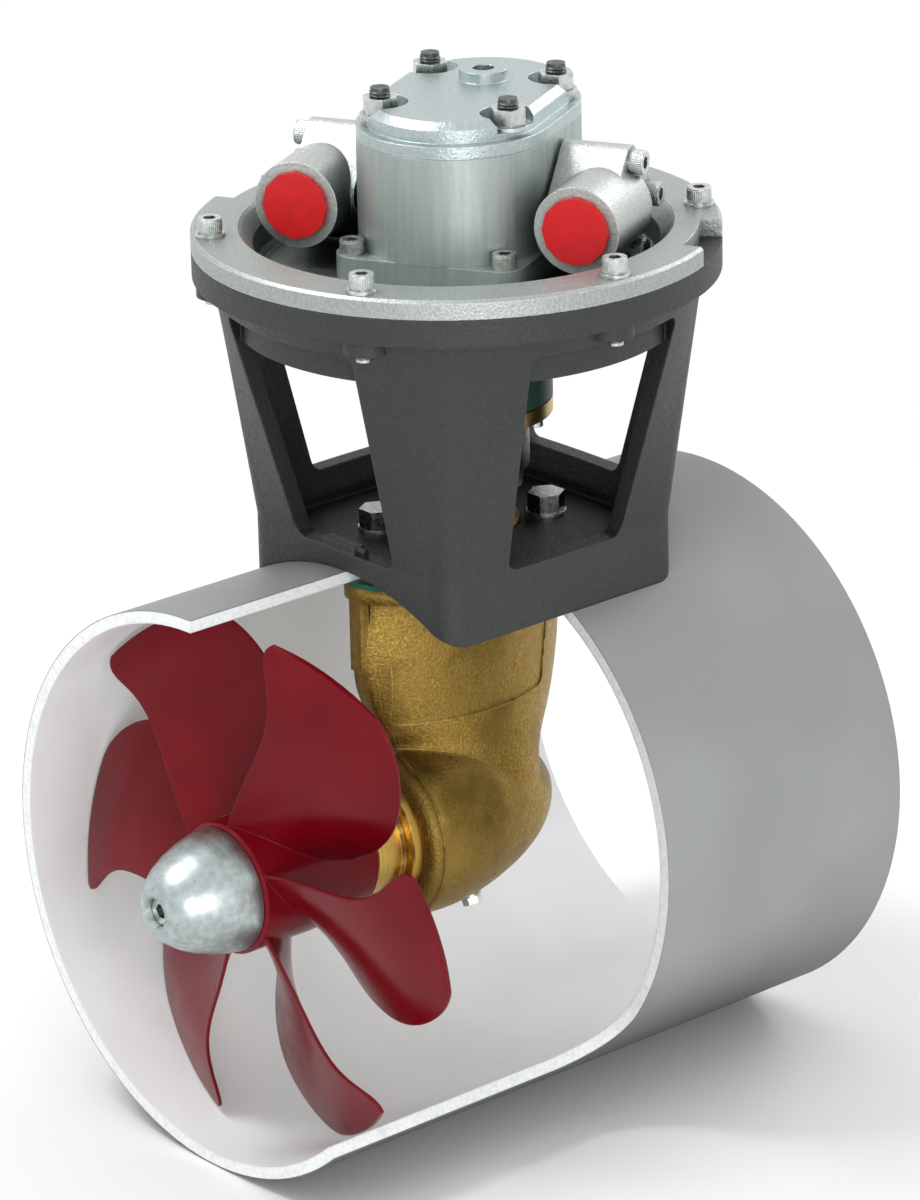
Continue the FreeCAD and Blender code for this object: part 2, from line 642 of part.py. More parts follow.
def rim_notch(name, start, stop):
    """Flat-bottomed notch in the bowl's rim between two angles."""
    item = doc.addObject("Part::Cylinder", f"{name}_sector")
    bind(item, "Radius", size.flange_rim + 5)
    bind(item, "Height", size.bowl_ring + 2)
    item.Angle = stop - start
    place(item, (0, 0, flange_top - 1), Rotation(Vector(0, 0, 1), start))
    core = cylinder(f"{name}_core", size.flange_rim - size.notch_depth, size.bowl_ring + 4,
                    (0, 0, flange_top - 2))
    return cut(name, item, core)


def flange_screw_spots():
    half = size.stud_half + 7
    middle = size.gear_centres / 2
    return [(u * half, middle + v * (middle + 41)) for u in (-1, 1) for v in (-1, 1)]


def ring_fasteners():
    screws = []
    washers = []
    for n, angle in enumerate(ring_angles):
        x, y = polar(size.ring_pitch, angle)
        seat = bowl_top + size.washer_thick
        length = seat - size.bracket_neck_top + size.boss_drop + size.ring_screw_proud
        screws.append(socket_screw(f"ring_screw_{n}", size.ring_screw, length, (x, y, seat)))
        washers.append(washer(f"ring_washer_{n}", 2 * size.ring_screw, size.ring_screw + 0.2,
                              size.washer_thick, (x, y, bowl_top)))
    finish(group("ring_screw_set", screws), "ring_screws")
    finish(group("ring_washer_set", washers), "ring_washers")


def motor_housing():
    middle = size.gear_centres / 2
    pilot = cylinder("motor_pilot", size.pilot_round, size.pilot_depth, (0, 0, pilot_foot))
    half_u = size.stud_half + 17
    corners = []
    for u, v in ((1, -1), (1, 1), (-1, 1), (-1, -1)):
        corners.append(Vector(u * float(half_u), float(middle) + v * (float(middle) + 50), float(motor_foot)))
    plate = shaped("motor_plate", Part.Face(rounded_wire(corners, [14.0] * 4)).extrude(
        Vector(0, 0, float(size.motor_flange_thick))))
    shaft_hole = cylinder("flange_shaft_hole", size.motor_shaft + size.running_clearance,
                          size.motor_flange_thick + 20, (0, 0, motor_foot - 12))
    seal_seat = cylinder("flange_seal_seat", size.bearing_rim, 5, (0, 0, pilot_foot))
    idler_pocket = cylinder("flange_idler_pocket", size.motor_journal + 0.5, 6,
                            (0, size.gear_centres, body_foot - 6))
    holes = [shaft_hole, seal_seat, idler_pocket]
    for n, (x, y) in enumerate(flange_screw_spots()):
        radius = size.flange_screw + size.screw_clearance
        holes.append(cylinder(f"flange_hole_{n}", radius, size.motor_flange_thick + 4,
                              (x, y, motor_foot - 2)))
    for n, (x, y) in enumerate(stud_spots):
        holes.append(cylinder(f"flange_stud_hole_{n}", size.stud_round, 11, (x, y, body_foot - 10)))
    holes += elbow_threads("flange")
    flange = cut("motor_flange_solid", fuse("motor_flange_blank", pilot, plate), *holes)
    finish(turn_with_motor(flange), "motor_flange")

    block = stadium("motor_block", size.motor_round, size.motor_body_height, body_foot)
    tip = size.motor_gear_tip + size.chamber_clearance
    hollows = [cylinder("chamber_drive", tip, size.motor_body_height + 2, (0, 0, body_foot - 1))]
    hollows.append(cylinder("chamber_idler", tip, size.motor_body_height + 2,
                            (0, size.gear_centres, body_foot - 1)))
    across = 2 * size.motor_round + 4
    hollows.append(cylinder("port_drilling", size.port_passage, across,
                            (-size.motor_round - 2, middle, port_z), ALONG_X))
    for n, (x, y) in enumerate(stud_spots):
        radius = size.stud_round + size.screw_clearance
        hollows.append(cylinder(f"body_stud_hole_{n}", radius, size.motor_body_height + 4,
                                (x, y, body_foot - 2)))
    hollows += elbow_threads("body")
    finish(turn_with_motor(cut("motor_body_solid", block, *hollows)), "motor_body")

    band = stadium("cover_band", size.motor_round, size.motor_band, body_top)
    lid_round = size.motor_round - size.lid_inset
    lid = shaped("cover_lid", Part.makeLoft([
        stadium_wire(lid_round, band_top), stadium_wire(lid_round, lid_top - 4), stadium_wire(lid_round - 4,
                                                                                              lid_top)],
        True, True))
    boss = cylinder("cover_boss", size.drain_boss, size.motor_lid + size.drain_boss_rise,
                    (0, size.gear_centres, band_top))
    holes = []
    for n, (x, y) in enumerate(stud_spots):
        holes.append(cylinder(f"cover_scallop_{n}", size.scallop, 30, (x, y, stud_seat)))
        radius = size.stud_round + size.screw_clearance
        holes.append(cylinder(f"cover_stud_hole_{n}", radius, 60, (x, y, body_top - 2)))
    drain_foot = lid_top + size.drain_boss_rise - size.drain_depth
    holes.append(cylinder("cover_drain", size.drain_thread, size.drain_depth + 1,
                          (0, size.gear_centres, drain_foot)))
    for n, v in enumerate((0, size.gear_centres)):
        pocket = size.motor_journal + 0.5
        holes.append(cylinder(f"cover_journal_pocket_{n}", pocket, 5, (0, v, body_top - 1)))
    cover = cut("motor_cover_solid", fuse("cover_solid", band, lid, boss), *holes)
    finish(turn_with_motor(cover), "motor_cover")


def elbow_threads(owner):
    """Threaded holes for the elbow screws in both sides of the motor."""
    holes = []
    for side, out in ((-1, ALONG_MINUS_X), (1, ALONG_X)):
        start = side * (size.motor_round - size.elbow_thread)
        for n, (y, height) in enumerate(elbow_screw_spots()):
            name = f"{owner}_elbow_thread_{side + 1}_{n}"
            holes.append(cylinder(name, size.elbow_screw, size.elbow_thread + 4, (start, y, height), out))
    return holes


def motor_fasteners():
    studs = []
    nuts = []
    washers = []
    washer_top = stud_seat + size.washer_thick
    for n, (x, y) in enumerate(stud_spots):
        foot = body_foot - 9
        top = washer_top + size.stud_nut_height + size.stud_rise
        studs.append(cylinder(f"stud_{n}", size.stud_round, top - foot, (x, y, foot)))
        blank = hexagon(f"stud_nut_blank_{n}", size.stud_nut, size.stud_nut_height, (x, y, washer_top))
        bore = cylinder(f"stud_nut_bore_{n}", size.stud_round, size.stud_nut_height, (x, y, washer_top))
        nuts.append(cut(f"stud_nut_{n}", blank, bore))
        washers.append(washer(f"stud_washer_{n}", size.stud_washer, size.stud_round + 0.2,
                              size.washer_thick, (x, y, stud_seat)))
    finish(turn_with_motor(group("stud_set", studs)), "tie_studs")
    finish(turn_with_motor(group("stud_nut_set", nuts)), "stud_nuts")
    finish(turn_with_motor(group("stud_washer_set", washers)), "stud_washers")
    screws = []
    length = size.motor_flange_thick + size.bowl_floor - 2
    for n, (x, y) in enumerate(flange_screw_spots()):
        screws.append(socket_screw(f"flange_screw_{n}", size.flange_screw, length, (x, y, body_foot)))
    finish(turn_with_motor(group("flange_screw_set", screws)), "motor_flange_screws")


def spur_gear(centre, turned_by):
    """Straight toothed motor gear, its journals left to the caller."""
    root = float(size.motor_gear_root)
    tip = float(size.motor_gear_tip)
    pitch = float(size.gear_centres) / 2
    foot = float(body_foot) + float(size.bush_front) + float(size.motor_gear_gap)
    top = float(body_top) - float(size.bush_rear) - float(size.motor_gear_gap)
    step = 2 * math.pi / MOTOR_TEETH
    outline = []
    for tooth in range(MOTOR_TEETH):
        middle = turned_by + tooth * step
        for radius, share in ((root, -0.34), (pitch, -0.225), (tip, -0.10), (tip, 0.10), (pitch, 0.225),
                              (root, 0.34)):
            angle = middle + share * step
            outline.append(Vector(radius * math.cos(angle), centre + radius * math.sin(angle), foot))
    face = Part.Face(Part.makePolygon(outline + [outline[0]]))
    return face.extrude(Vector(0, 0, top - foot)), foot, top


def motor_gears():
    far = float(size.gear_centres)
    half_step = math.pi / MOTOR_TEETH
    drive, foot, top = spur_gear(0, math.pi / 2)
    idler, foot, top = spur_gear(far, -math.pi / 2 + half_step)
    journal_foot = body_foot - 5
    journal_length = body_top + 3 - journal_foot
    drive_journal = cylinder("drive_journal", size.motor_journal, journal_length, (0, 0, journal_foot))
    idler_journal = cylinder("idler_journal", size.motor_journal, journal_length,
                             (0, size.gear_centres, journal_foot))
    shaft_foot = coupling_face + 8
    shaft = cylinder("motor_shaft", size.motor_shaft, body_foot - 0.5 - shaft_foot, (0, 0, shaft_foot))
    gear = fuse("motor_drive_solid", shaped("motor_drive_teeth", drive), drive_journal, shaft)
    finish(turn_with_motor(gear), "motor_drive_gear")
    gear = fuse("motor_idler_solid", shaped("motor_idler_teeth", idler), idler_journal)
    finish(turn_with_motor(gear), "motor_idler_gear")


def bearing_blocks():
    """Figure-eight blocks that carry the journals on both sides of the gears."""
    blocks = []
    for name, foot, thick in (("front", body_foot, size.bush_front),
                              ("rear", body_top - size.bush_rear, size.bush_rear)):
        radius = size.motor_gear_tip
        first = cylinder(f"bush_{name}_drive", radius, thick, (0, 0, foot))
        second = cylinder(f"bush_{name}_idler", radius, thick, (0, size.gear_centres, foot))
        bores = []
        for v in (0, size.gear_centres):
            bore = size.motor_journal + size.running_clearance
            bores.append(cylinder(f"bush_{name}_bore", bore, thick, (0, v, foot)))
        blocks.append(cut(f"bush_{name}", fuse(f"bush_{name}_solid", first, second), *bores))
    finish(turn_with_motor(group("bush_set", blocks)), "bearing_blocks")


def motor_shaft_seal():
    foot = pilot_foot
    disc = cylinder("motor_seal_disc", size.bearing_rim, 4.5, (0, 0, foot))
    bore = cylinder("motor_seal_bore", size.motor_shaft + size.running_clearance, 4.5, (0, 0, foot))
    finish(cut("motor_seal", disc, bore), "motor_shaft_seal")


def elbow_screw_spots():
    """Centres of the elbow screws: top, rear and bottom of the port."""
    pitch = size.elbow_pitch
    middle = size.gear_centres / 2
    return [(middle, port_z + pitch), (middle + pitch, port_z), (middle, port_z - pitch)]


def port_elbow(side, name):
    """Flange elbow: the block carries the screws, the pipe leaves toward the motor's front."""
    middle = size.gear_centres / 2
    out = ALONG_X if side > 0 else ALONG_MINUS_X
    start = side * (size.motor_round + size.port_seal)
    pitch = float(size.elbow_pitch)
    lobe = float(size.elbow_lobe)
    reach = pitch + lobe * math.sqrt(2)
    x = float(start)
    v = float(middle)
    z = float(port_z)
    corners = [Vector(x, v, z + reach), Vector(x, v + reach, z), Vector(x, v, z - reach),
               Vector(x, v - reach, z)]
    block = Part.Face(rounded_wire(corners, [lobe] * 4)).extrude(Vector(side * float(size.elbow_block), 0, 0))
    axis_x = side * (size.motor_round + size.elbow_offset)
    pipe = cylinder(f"{name}_pipe", size.elbow_pipe, size.elbow_reach, (axis_x, middle, port_z), FORWARD)
    solid = fuse(f"{name}_solid", shaped(f"{name}_block", block), pipe)
    holes = [cylinder(f"{name}_inlet", size.port_passage, size.elbow_offset + 4,
                      (start - side * 4, middle, port_z), out)]
    holes.append(cylinder(f"{name}_bore", size.elbow_bore, size.elbow_reach + 1, (axis_x, middle, port_z),
                          FORWARD))
    for n, (y, height) in enumerate(elbow_screw_spots()):
        radius = size.elbow_screw + size.screw_clearance
        holes.append(cylinder(f"{name}_hole_{n}", radius, size.elbow_block + 4,
                              (start - side * 2, y, height), out))
        face = start + side * size.elbow_block
        holes.append(cylinder(f"{name}_spot_{n}", 1.8 * size.elbow_screw, 20, (face, y, height), out))
    finish(turn_with_motor(cut(f"{name}_cut", solid, *holes)), name)


def port_details():
    middle = size.gear_centres / 2
    seals = []
    screws = []
    for side, word in ((-1, "left"), (1, "right")):
        port_elbow(side, f"{word}_port_elbow")
        out = ALONG_X if side > 0 else ALONG_MINUS_X
        face = side * size.motor_round
        disc = cylinder(f"port_seal_disc_{word}", size.port_passage + 4, size.port_seal,
                        (face, middle, port_z), out)
        bore = cylinder(f"port_seal_bore_{word}", size.port_passage, size.port_seal, (face, middle, port_z),
                        out)
        seals.append(cut(f"port_seal_{word}", disc, bore))
        head = side * (size.motor_round + size.port_seal + size.elbow_block)
        length = size.elbow_block + size.port_seal + size.elbow_thread
        for n, (y, height) in enumerate(elbow_screw_spots()):
            screws.append(socket_screw(f"elbow_screw_{word}_{n}", size.elbow_screw, length,
                                       (head, y, height), out))
        axis_x = side * (size.motor_round + size.elbow_offset)
        mouth = middle - size.elbow_reach
        stub = cylinder(f"plug_stub_{word}", size.plug_rim, size.plug_depth,
                        (axis_x, mouth + size.plug_depth, port_z), FORWARD)
        rim = hexagon(f"plug_head_{word}", size.plug_rim + 1.5, size.plug_proud, (axis_x, mouth, port_z),
                      FORWARD, 12)
        finish(turn_with_motor(fuse(f"plug_{word}", stub, rim)), f"{word}_port_plug")
    finish(turn_with_motor(group("port_seal_set", seals)), "port_seals")
    finish(turn_with_motor(group("elbow_screw_set", screws)), "elbow_screws")


def coupling():
    cap_foot = coupling_top - size.coupling_cap
    hub_foot = coupling_face + 6
    shaft = size.motor_shaft
    rim = size.coupling_round
    finish(turned("upper_half", [
        (shaft, hub_foot), (size.coupling_hub, hub_foot), (size.coupling_hub, cap_foot), (rim - 2, cap_foot),
        (rim - 2, coupling_top - 2), (rim - 4, coupling_top), (shaft, coupling_top)]),
        "upper_coupling_half")
    finish(turned("sleeve", [
        (size.sleeve_inside, coupling_face), (rim - 1, coupling_face), (rim, coupling_face + 1),
        (rim, cap_foot - 3), (rim - 3, cap_foot), (size.sleeve_inside, cap_foot)]), "flexible_sleeve")
    ring_foot = coupling_face - size.coupling_ring_thick
    bore = size.bearing_bore
    ring = turned("plated_ring", [
        (size.lower_hub - 5, ring_foot), (rim, ring_foot), (rim, coupling_face), (size.lower_hub - 5,
                                                                                  coupling_face)])
    holes = []
    for n in range(COUPLING_SCREWS):
        x, y = polar(size.coupling_pitch, 360 / COUPLING_SCREWS * (n + 0.5))
        hole = size.coupling_screw + size.screw_clearance
        holes.append(cylinder(f"ring_screw_hole_{n}", hole, size.coupling_ring_thick + 2,
                              (x, y, ring_foot - 1)))
    finish(cut("plated_ring_drilled", ring, *holes), "coupling_ring")
    length = ring_foot - size.lower_hub_foot
    flange_foot = size.lower_hub_foot + LOWER_FLANGE_SHARE * length
    clamp_foot = size.lower_hub_foot + LOWER_CLAMP_SHARE * length
    finish(turned("lower_half", [
        (bore, size.lower_hub_foot), (size.lower_hub - 2, size.lower_hub_foot), (size.lower_hub,
                                                                                 size.lower_hub_foot + 2),
        (size.lower_hub, clamp_foot), (size.lower_clamp, clamp_foot + 1), (size.lower_clamp, flange_foot),
        (size.lower_flange, flange_foot), (size.lower_flange, ring_foot), (bore, ring_foot)]),
        "lower_coupling_half")


def coupling_screws():
    """Screws up through the ring into the sleeve, heads down."""
    ring_foot = coupling_face - size.coupling_ring_thick
    flip = Rotation(Vector(1, 0, 0), 180)
    screws = []
    for n in range(COUPLING_SCREWS):
        x, y = polar(size.coupling_pitch, 360 / COUPLING_SCREWS * (n + 0.5))
        screws.append(socket_screw(f"coupling_screw_{n}", size.coupling_screw, size.coupling_ring_thick,
                                   (x, y, ring_foot), flip))
    finish(group("coupling_screw_set", screws), "coupling_screws")


def ball_bearing(name, bore, rim, width, foot, turn=UP):
    """Sealed bearing: an inner ring, and an outer ring whose shields reach almost down to it."""
    step = (rim - bore) / 4
    shoulder = bore + step
    lip = shoulder + 0.3
    outer_inside = rim - step
    finish(turned(f"{name}_inner", [
        (bore, foot), (shoulder, foot), (shoulder, foot + width), (bore,
                                                                   foot + width)], turn), f"{name}_inner_ring")
    finish(turned(f"{name}_outer", [
        (lip, foot + 0.3), (outer_inside, foot + 0.3), (outer_inside, foot), (rim, foot), (rim, foot + width),
        (outer_inside, foot + width), (outer_inside, foot + width - 0.3), (lip, foot + width - 0.3)], turn),
        f"{name}_outer_ring")


def seal(name, label, bore, rim, foot, width, turn=UP):
    lip = bore + size.running_clearance
    finish(turned(name, [
        (lip, foot), (rim, foot), (rim, foot + width), (lip, foot + width)], turn), label)


def drive_line():
    """Vertical shaft with the pinion at its foot and the coupling on its head."""
    pinion_back = size.pinion_bearing_foot - 1
    shaft_top = coupling_face - size.coupling_ring_thick - 1
    stub = size.bearing_bore - 2
    upper = size.upper_bearing_foot
    lower = size.pinion_bearing_foot + size.bearing_width
    finish(turned("vertical_shaft", [
        (0, 20.5), (stub - 0.8, 20.5), (stub, 21.3), (stub, pinion_back), (size.bearing_bore, pinion_back),
        (size.bearing_bore, lower), (size.leg_shaft, lower), (size.leg_shaft, upper), (size.bearing_bore,
                                                                                       upper),
        (size.bearing_bore, shaft_top), (0, shaft_top)]), "drive_shaft")
    ball_bearing("pinion_bearing", size.bearing_bore, size.bearing_rim, size.bearing_width,
                 size.pinion_bearing_foot)
    ball_bearing("upper_bearing", size.bearing_bore, size.bearing_rim, size.bearing_width, upper)
    seal_foot = size.leg_top - size.seal_width - 0.5
    seal("leg_seal", "upper_shaft_seal", size.bearing_bore, size.bearing_rim, seal_foot, size.seal_width)
    finish(bevel_pinion(stub, pinion_back), "bevel_pinion")


def bevel_tooth(pitch, other, axis_turn):
    """One bevel tooth as a frustum toward the crossing of the two axes."""
    pitch = float(pitch)
    other = float(other)
    distance = math.hypot(pitch, other)
    shrink = 1 - float(size.bevel_face) / distance
    element = Vector(pitch / distance, 0, other / distance)
    normal = Vector(other / distance, 0, -pitch / distance)
    half = float(size.bevel_tooth) / 2
    slope = math.tan(math.radians(20))
    tip = float(size.bevel_addendum)
    root = float(size.bevel_dedendum) + 0.4
    foot = element * distance - normal * root
    crest = element * distance + normal * tip
    foot_half = Vector(0, half + slope * root, 0)
    crest_half = Vector(0, half - slope * tip, 0)
    loop = [foot - foot_half, crest - crest_half, crest + crest_half, foot + foot_half]
    outer = Part.makePolygon(loop + [loop[0]])
    inner = Part.makePolygon([p * shrink for p in loop] + [loop[0] * shrink])
    tooth = Part.makeLoft([outer, inner], True, True)
    tooth.rotate(Vector(), Vector(0, 0, 1), math.degrees(axis_turn))
    return tooth


def bevel_blank(pitch, other, back_points):
    """Blank under the teeth: root cone at both ends, then the back of the gear, as (radius, height)."""
    pitch = float(pitch)
    other = float(other)
    distance = math.hypot(pitch, other)
    shrink = 1 - float(size.bevel_face) / distance
    root = float(size.bevel_dedendum)
    large = (pitch - root * other / distance, other + root * pitch / distance)
    small = (large[0] * shrink, large[1] * shrink)
    points = [small, large] + [(float(r), float(h)) for r, h in back_points]
    bore = points[-1][0]
    points.append((bore, small[1]))
    spots = [Vector(r, 0, h) for r, h in points]
    return Part.Face(Part.makePolygon(spots + [spots[0]])).revolve(Vector(), Vector(0, 0, 1), 360)


def bevel_gear(pitch, other, teeth, start, back_points):
    gear = bevel_blank(pitch, other, back_points)
    step = 2 * math.pi / teeth
    pieces = [bevel_tooth(pitch, other, start + n * step) for n in range(teeth)]
    return gear.multiFuse(pieces).removeSplitter()


def bevel_pinion(bore, back):
    """Small bevel gear on the shaft's foot; a tooth points forward at rest."""
    root_back = float(size.pinion_pitch) - 2.7
    shape = bevel_gear(size.pinion_pitch, size.wheel_pitch, PINION_TEETH, -math.pi / 2,
                       [(root_back, back), (bore, back)])
    return shaped("pinion_gear", shape)


def bevel_wheel():
    """Large bevel gear on the propeller shaft; a gap faces up at rest."""
    pitch = float(size.wheel_pitch)
    half_step = math.pi / WHEEL_TEETH
    back = float(size.front_bearing_rear) - 18
    shape = bevel_gear(size.wheel_pitch, size.pinion_pitch, WHEEL_TEETH, math.pi / 2 + half_step,
                       [(pitch - 0.5, 18.5), (pitch - 0.5, 23.0), (18.0, back), (size.prop_shaft, back)])
    item = shaped("wheel_gear", shape)
    item.Placement = Placement(Vector(), FORWARD)
    finish(item, "bevel_wheel")


def neck_wire(lead, trail, half, height):
    """Streamlined section of the leg: a narrow nose, full flanks and a thin tail."""
    nose = float(size.neck_rim)
    tail = 3.0
    z = float(height)
    half = float(half)
    lead = -float(lead)
    trail = float(trail)
    middle = (lead + trail) / 2
    return Part.Wire([
        Part.makeLine(Vector(-nose, lead, z), Vector(nose, lead, z)),
        Part.Arc(Vector(nose, lead, z), Vector(half, middle, z), Vector(tail, trail, z)).toShape(),
        Part.makeLine(Vector(tail, trail, z), Vector(-tail, trail, z)),
        Part.Arc(Vector(-tail, trail, z), Vector(-half, middle, z), Vector(-nose, lead, z)).toShape(),
    ])


def gearcase_shape():
    """Bullet about the tunnel axis, from the front cap's seam to the round tail, as forward distances."""
    front = float(size.case_front)
    r = float(size.case_round)
    nodes_of_curve = [Vector(r - 1.5, 0, front), Vector(r, 0, front - 12), Vector(r, 0, 32),
                      Vector(0.87 * r, 0, -2),
                      Vector(0.56 * r, 0, -35), Vector(0.2 * r, 0, -51)]
    curve = Part.BSplineCurve()
    curve.interpolate(nodes_of_curve)
    end = nodes_of_curve[-1]
    tip = Vector(0, 0, end.z - 3.5)
    edges = [curve.toShape(), Part.makeLine(end, Vector(0.1 * r, 0, tip.z + 0.8)),
             Part.makeLine(Vector(0.1 * r, 0, tip.z + 0.8), tip), Part.makeLine(tip, Vector(0, 0, front)),
             Part.makeLine(Vector(0, 0, front), nodes_of_curve[0])]
    bullet = Part.Face(Part.Wire(edges)).revolve(Vector(), Vector(0, 0, 1), 360)
    bullet.rotate(Vector(), Vector(1, 0, 0), 90)
    return bullet


# Neck form: share of the height from the gearcase axis to the flange, share of the way from the
# gearcase's front to the full lead, share of the way from the waist to the full trail, and the
# half thickness as a share of the full one, which swells towards the gearcase.
NECK_FORM = [
    (0.0, 0.0, 0.02, 1.50), (0.125, 0.0, 0.0, 1.46), (0.18, 0.02, 0.1, 1.35), (0.235, 0.07, 0.3, 1.20),
    (0.30, 0.18, 0.54, 1.09), (0.41, 0.48, 0.76, 1.015), (0.52, 0.80, 0.88, 1.0), (0.67, 1.0, 0.97, 1.0),
    (1.0, 1.0, 1.0, 1.0),
]


def neck_loft(top, first, thinner):
    """Loft through the neck's sections from the first one up, its sides set back by thinner."""
    root = float(size.case_front) - 9
    reach = float(neck_lead) - root
    waist = float(size.neck_waist)
    sweep = float(neck_trail) - waist
    sections = []
    for height, lead, trail, swell in NECK_FORM[first:]:
        half = float(size.neck_half) * swell - thinner
        sections.append(neck_wire(root + lead * reach, waist + trail * sweep, half, height * top))
    return Part.makeLoft(sections, True, False)


def neck_panels(top):
    """What is cut from the neck's sides: the space outside a thinner neck, inside the border."""
    border = float(size.panel_border)
    low = 0.44 * top
    high = top - float(size.leg_flange_thick) - 1.6 * border
    lead = float(neck_lead) - border
    trail = float(neck_trail) - 1.4 * border
    wide = 2 * float(size.neck_half)
    corners = [Vector(-wide, -lead + 0.25 * border, low), Vector(-wide, trail - border, low),
               Vector(-wide, trail, high),
               Vector(-wide, -lead, high)]
    window = Part.Face(rounded_wire(corners, [6.0] * 4)).extrude(Vector(2 * wide, 0, 0))
    return window.cut(neck_loft(top, 3, float(size.panel_depth)))


def flange_outline(height):
    """Oval of the leg's flange and its gasket, as a tall block."""
    oval = Part.Ellipse(Vector(0, 0, 0), float(size.leg_flange_half_y),
                        float(size.leg_flange_half_x)).toShape()
    face = Part.Face(Part.Wire([oval]))
    face.rotate(Vector(), Vector(0, 0, 1), 90)
    face.translate(Vector(0, 0, 0.6 * height))
    return face.extrude(Vector(0, 0, height))


def gear_leg():
    flange_under = size.tunnel_bore - size.gasket_thick - size.leg_flange_thick
    flange_face = size.tunnel_bore - size.gasket_thick
    top = float(flange_face) - 1
    neck = neck_loft(top, 0, 0).cut(neck_panels(top))
    half_y = float(size.leg_flange_half_y)
    pad = flange_outline(float(size.tunnel_bore))
    ring = Part.makeCylinder(float(flange_face), 4 * half_y, Vector(0, -2 * half_y, 0), Vector(0, 1, 0))
    ring = ring.cut(Part.makeCylinder(float(flange_under), 4 * half_y, Vector(0, -2 * half_y, 0),
                                      Vector(0, 1, 0)))
    rim_foot = 0.67 * top
    rim = Part.makeBox(2 * float(size.neck_rim), 5, top - rim_foot,
                       Vector(-float(size.neck_rim), -float(neck_lead) - 2, rim_foot))
    limit = Part.makeCylinder(float(flange_face), 4 * half_y, Vector(0, -2 * half_y, 0), Vector(0, 1, 0))
    casting = neck.fuse([gearcase_shape(), pad.common(ring), rim]).common(limit)
    blank = shaped("leg_casting", casting)
    spigot = cylinder("leg_spigot_round", size.leg_spigot, size.leg_top - size.tunnel_bore + 20,
                      (0, 0, size.tunnel_bore - 20))
    lower = size.pinion_bearing_foot + size.bearing_width
    holes = [
        cylinder("leg_upper_seat", size.bearing_rim, 40, (0, 0, size.upper_bearing_foot)),
        cylinder("leg_shaft_way", size.leg_shaft + 4.5, size.upper_bearing_foot - lower + 2,
                 (0, 0, lower - 1)),
        cylinder("leg_lower_seat", size.bearing_rim, lower, (0, 0, 0)),
        cylinder("leg_cavity", size.case_cavity, size.case_front + 13, (0, 12, 0), FORWARD),
        cylinder("leg_rear_seat", size.prop_bearing_rim, size.bearing_width + 6,
                 (0, size.rear_bearing_front + size.bearing_width, 0), FORWARD),
        cylinder("leg_rear_way", size.prop_shaft + 3, size.bearing_width + 20,
                 (0, size.rear_bearing_front + size.bearing_width + 6, 0), FORWARD),
    ]
    for n, (x, y) in enumerate(leg_bolt_spots):
        holes.append(cylinder(f"leg_thread_{n}", size.leg_bolt, 30, (x, y, flange_under - 8)))
    point, turn = drain_place()
    holes.append(cylinder("leg_drain_thread", size.drain_screw, 20, moved(point, turn, -16), turn))
    finish(cut("leg_machined", fuse("leg_solid", blank, spigot), *holes), "gear_leg")


def drain_place():
    """Seat of the drain screw on the gearcase's lower flank."""
    turn = Rotation(Vector(0, 1, 0), 155)
    reach = size.case_round - 1.6
    along = turn.multVec(Vector(0, 0, 1))
    return (reach * along.x, Size(-18, "-18"), reach * along.z), turn


def leg_details():
    flange_face = size.tunnel_bore - size.gasket_thick
    sheet_pad = shaped("gasket_outline", flange_outline(float(size.tunnel_bore)))
    length = 4 * size.leg_flange_half_y
    outer = cylinder("gasket_outer", size.tunnel_bore, length, (0, length / 2, 0), FORWARD)
    inner = cylinder("gasket_inner", flange_face, length, (0, length / 2, 0), FORWARD)
    holes = [inner, cylinder("gasket_hole", size.leg_spigot + size.spigot_clearance, 80,
                             (0, 0, size.tunnel_bore - 60))]
    for n, (x, y) in enumerate(leg_bolt_spots):
        holes.append(cylinder(f"gasket_bolt_hole_{n}", size.leg_bolt + size.screw_clearance, 80,
                              (x, y, size.tunnel_bore - 60)))
    finish(cut("gasket_sheet", common("gasket_band", sheet_pad, outer), *holes), "leg_gasket")
    bolts = []
    washers = []
    for n, (x, y) in enumerate(leg_bolt_spots):
        foot_z = flange_face - size.leg_flange_thick
        seat = floor_top + size.washer_thick
        shank = cylinder(f"leg_bolt_shank_{n}", size.leg_bolt, seat - foot_z, (x, y, foot_z))
        head = hexagon(f"leg_bolt_head_{n}", size.leg_bolt_head, size.leg_bolt_head_height, (x, y, seat))
        bolts.append(fuse(f"leg_bolt_{n}", shank, head))
        washers.append(washer(f"leg_washer_{n}", size.leg_bolt + 5, size.leg_bolt + 0.2, size.washer_thick,
                              (x, y, floor_top)))
    finish(group("leg_bolt_set", bolts), "leg_bolts")
    finish(group("leg_washer_set", washers), "leg_bolt_washers")
    point, turn = drain_place()
    flange_thick = 1.5
    shank = cylinder("drain_shank", size.drain_screw, 10, moved(point, turn, -10), turn)
    flange = cylinder("drain_flange", 1.6 * size.drain_screw, flange_thick, point, turn)
    head = hexagon("drain_head", 1.35 * size.drain_screw, size.drain_screw,
                   moved(point, turn, flange_thick), turn)
    finish(fuse("drain_solid", shank, flange, head), "drain_screw")


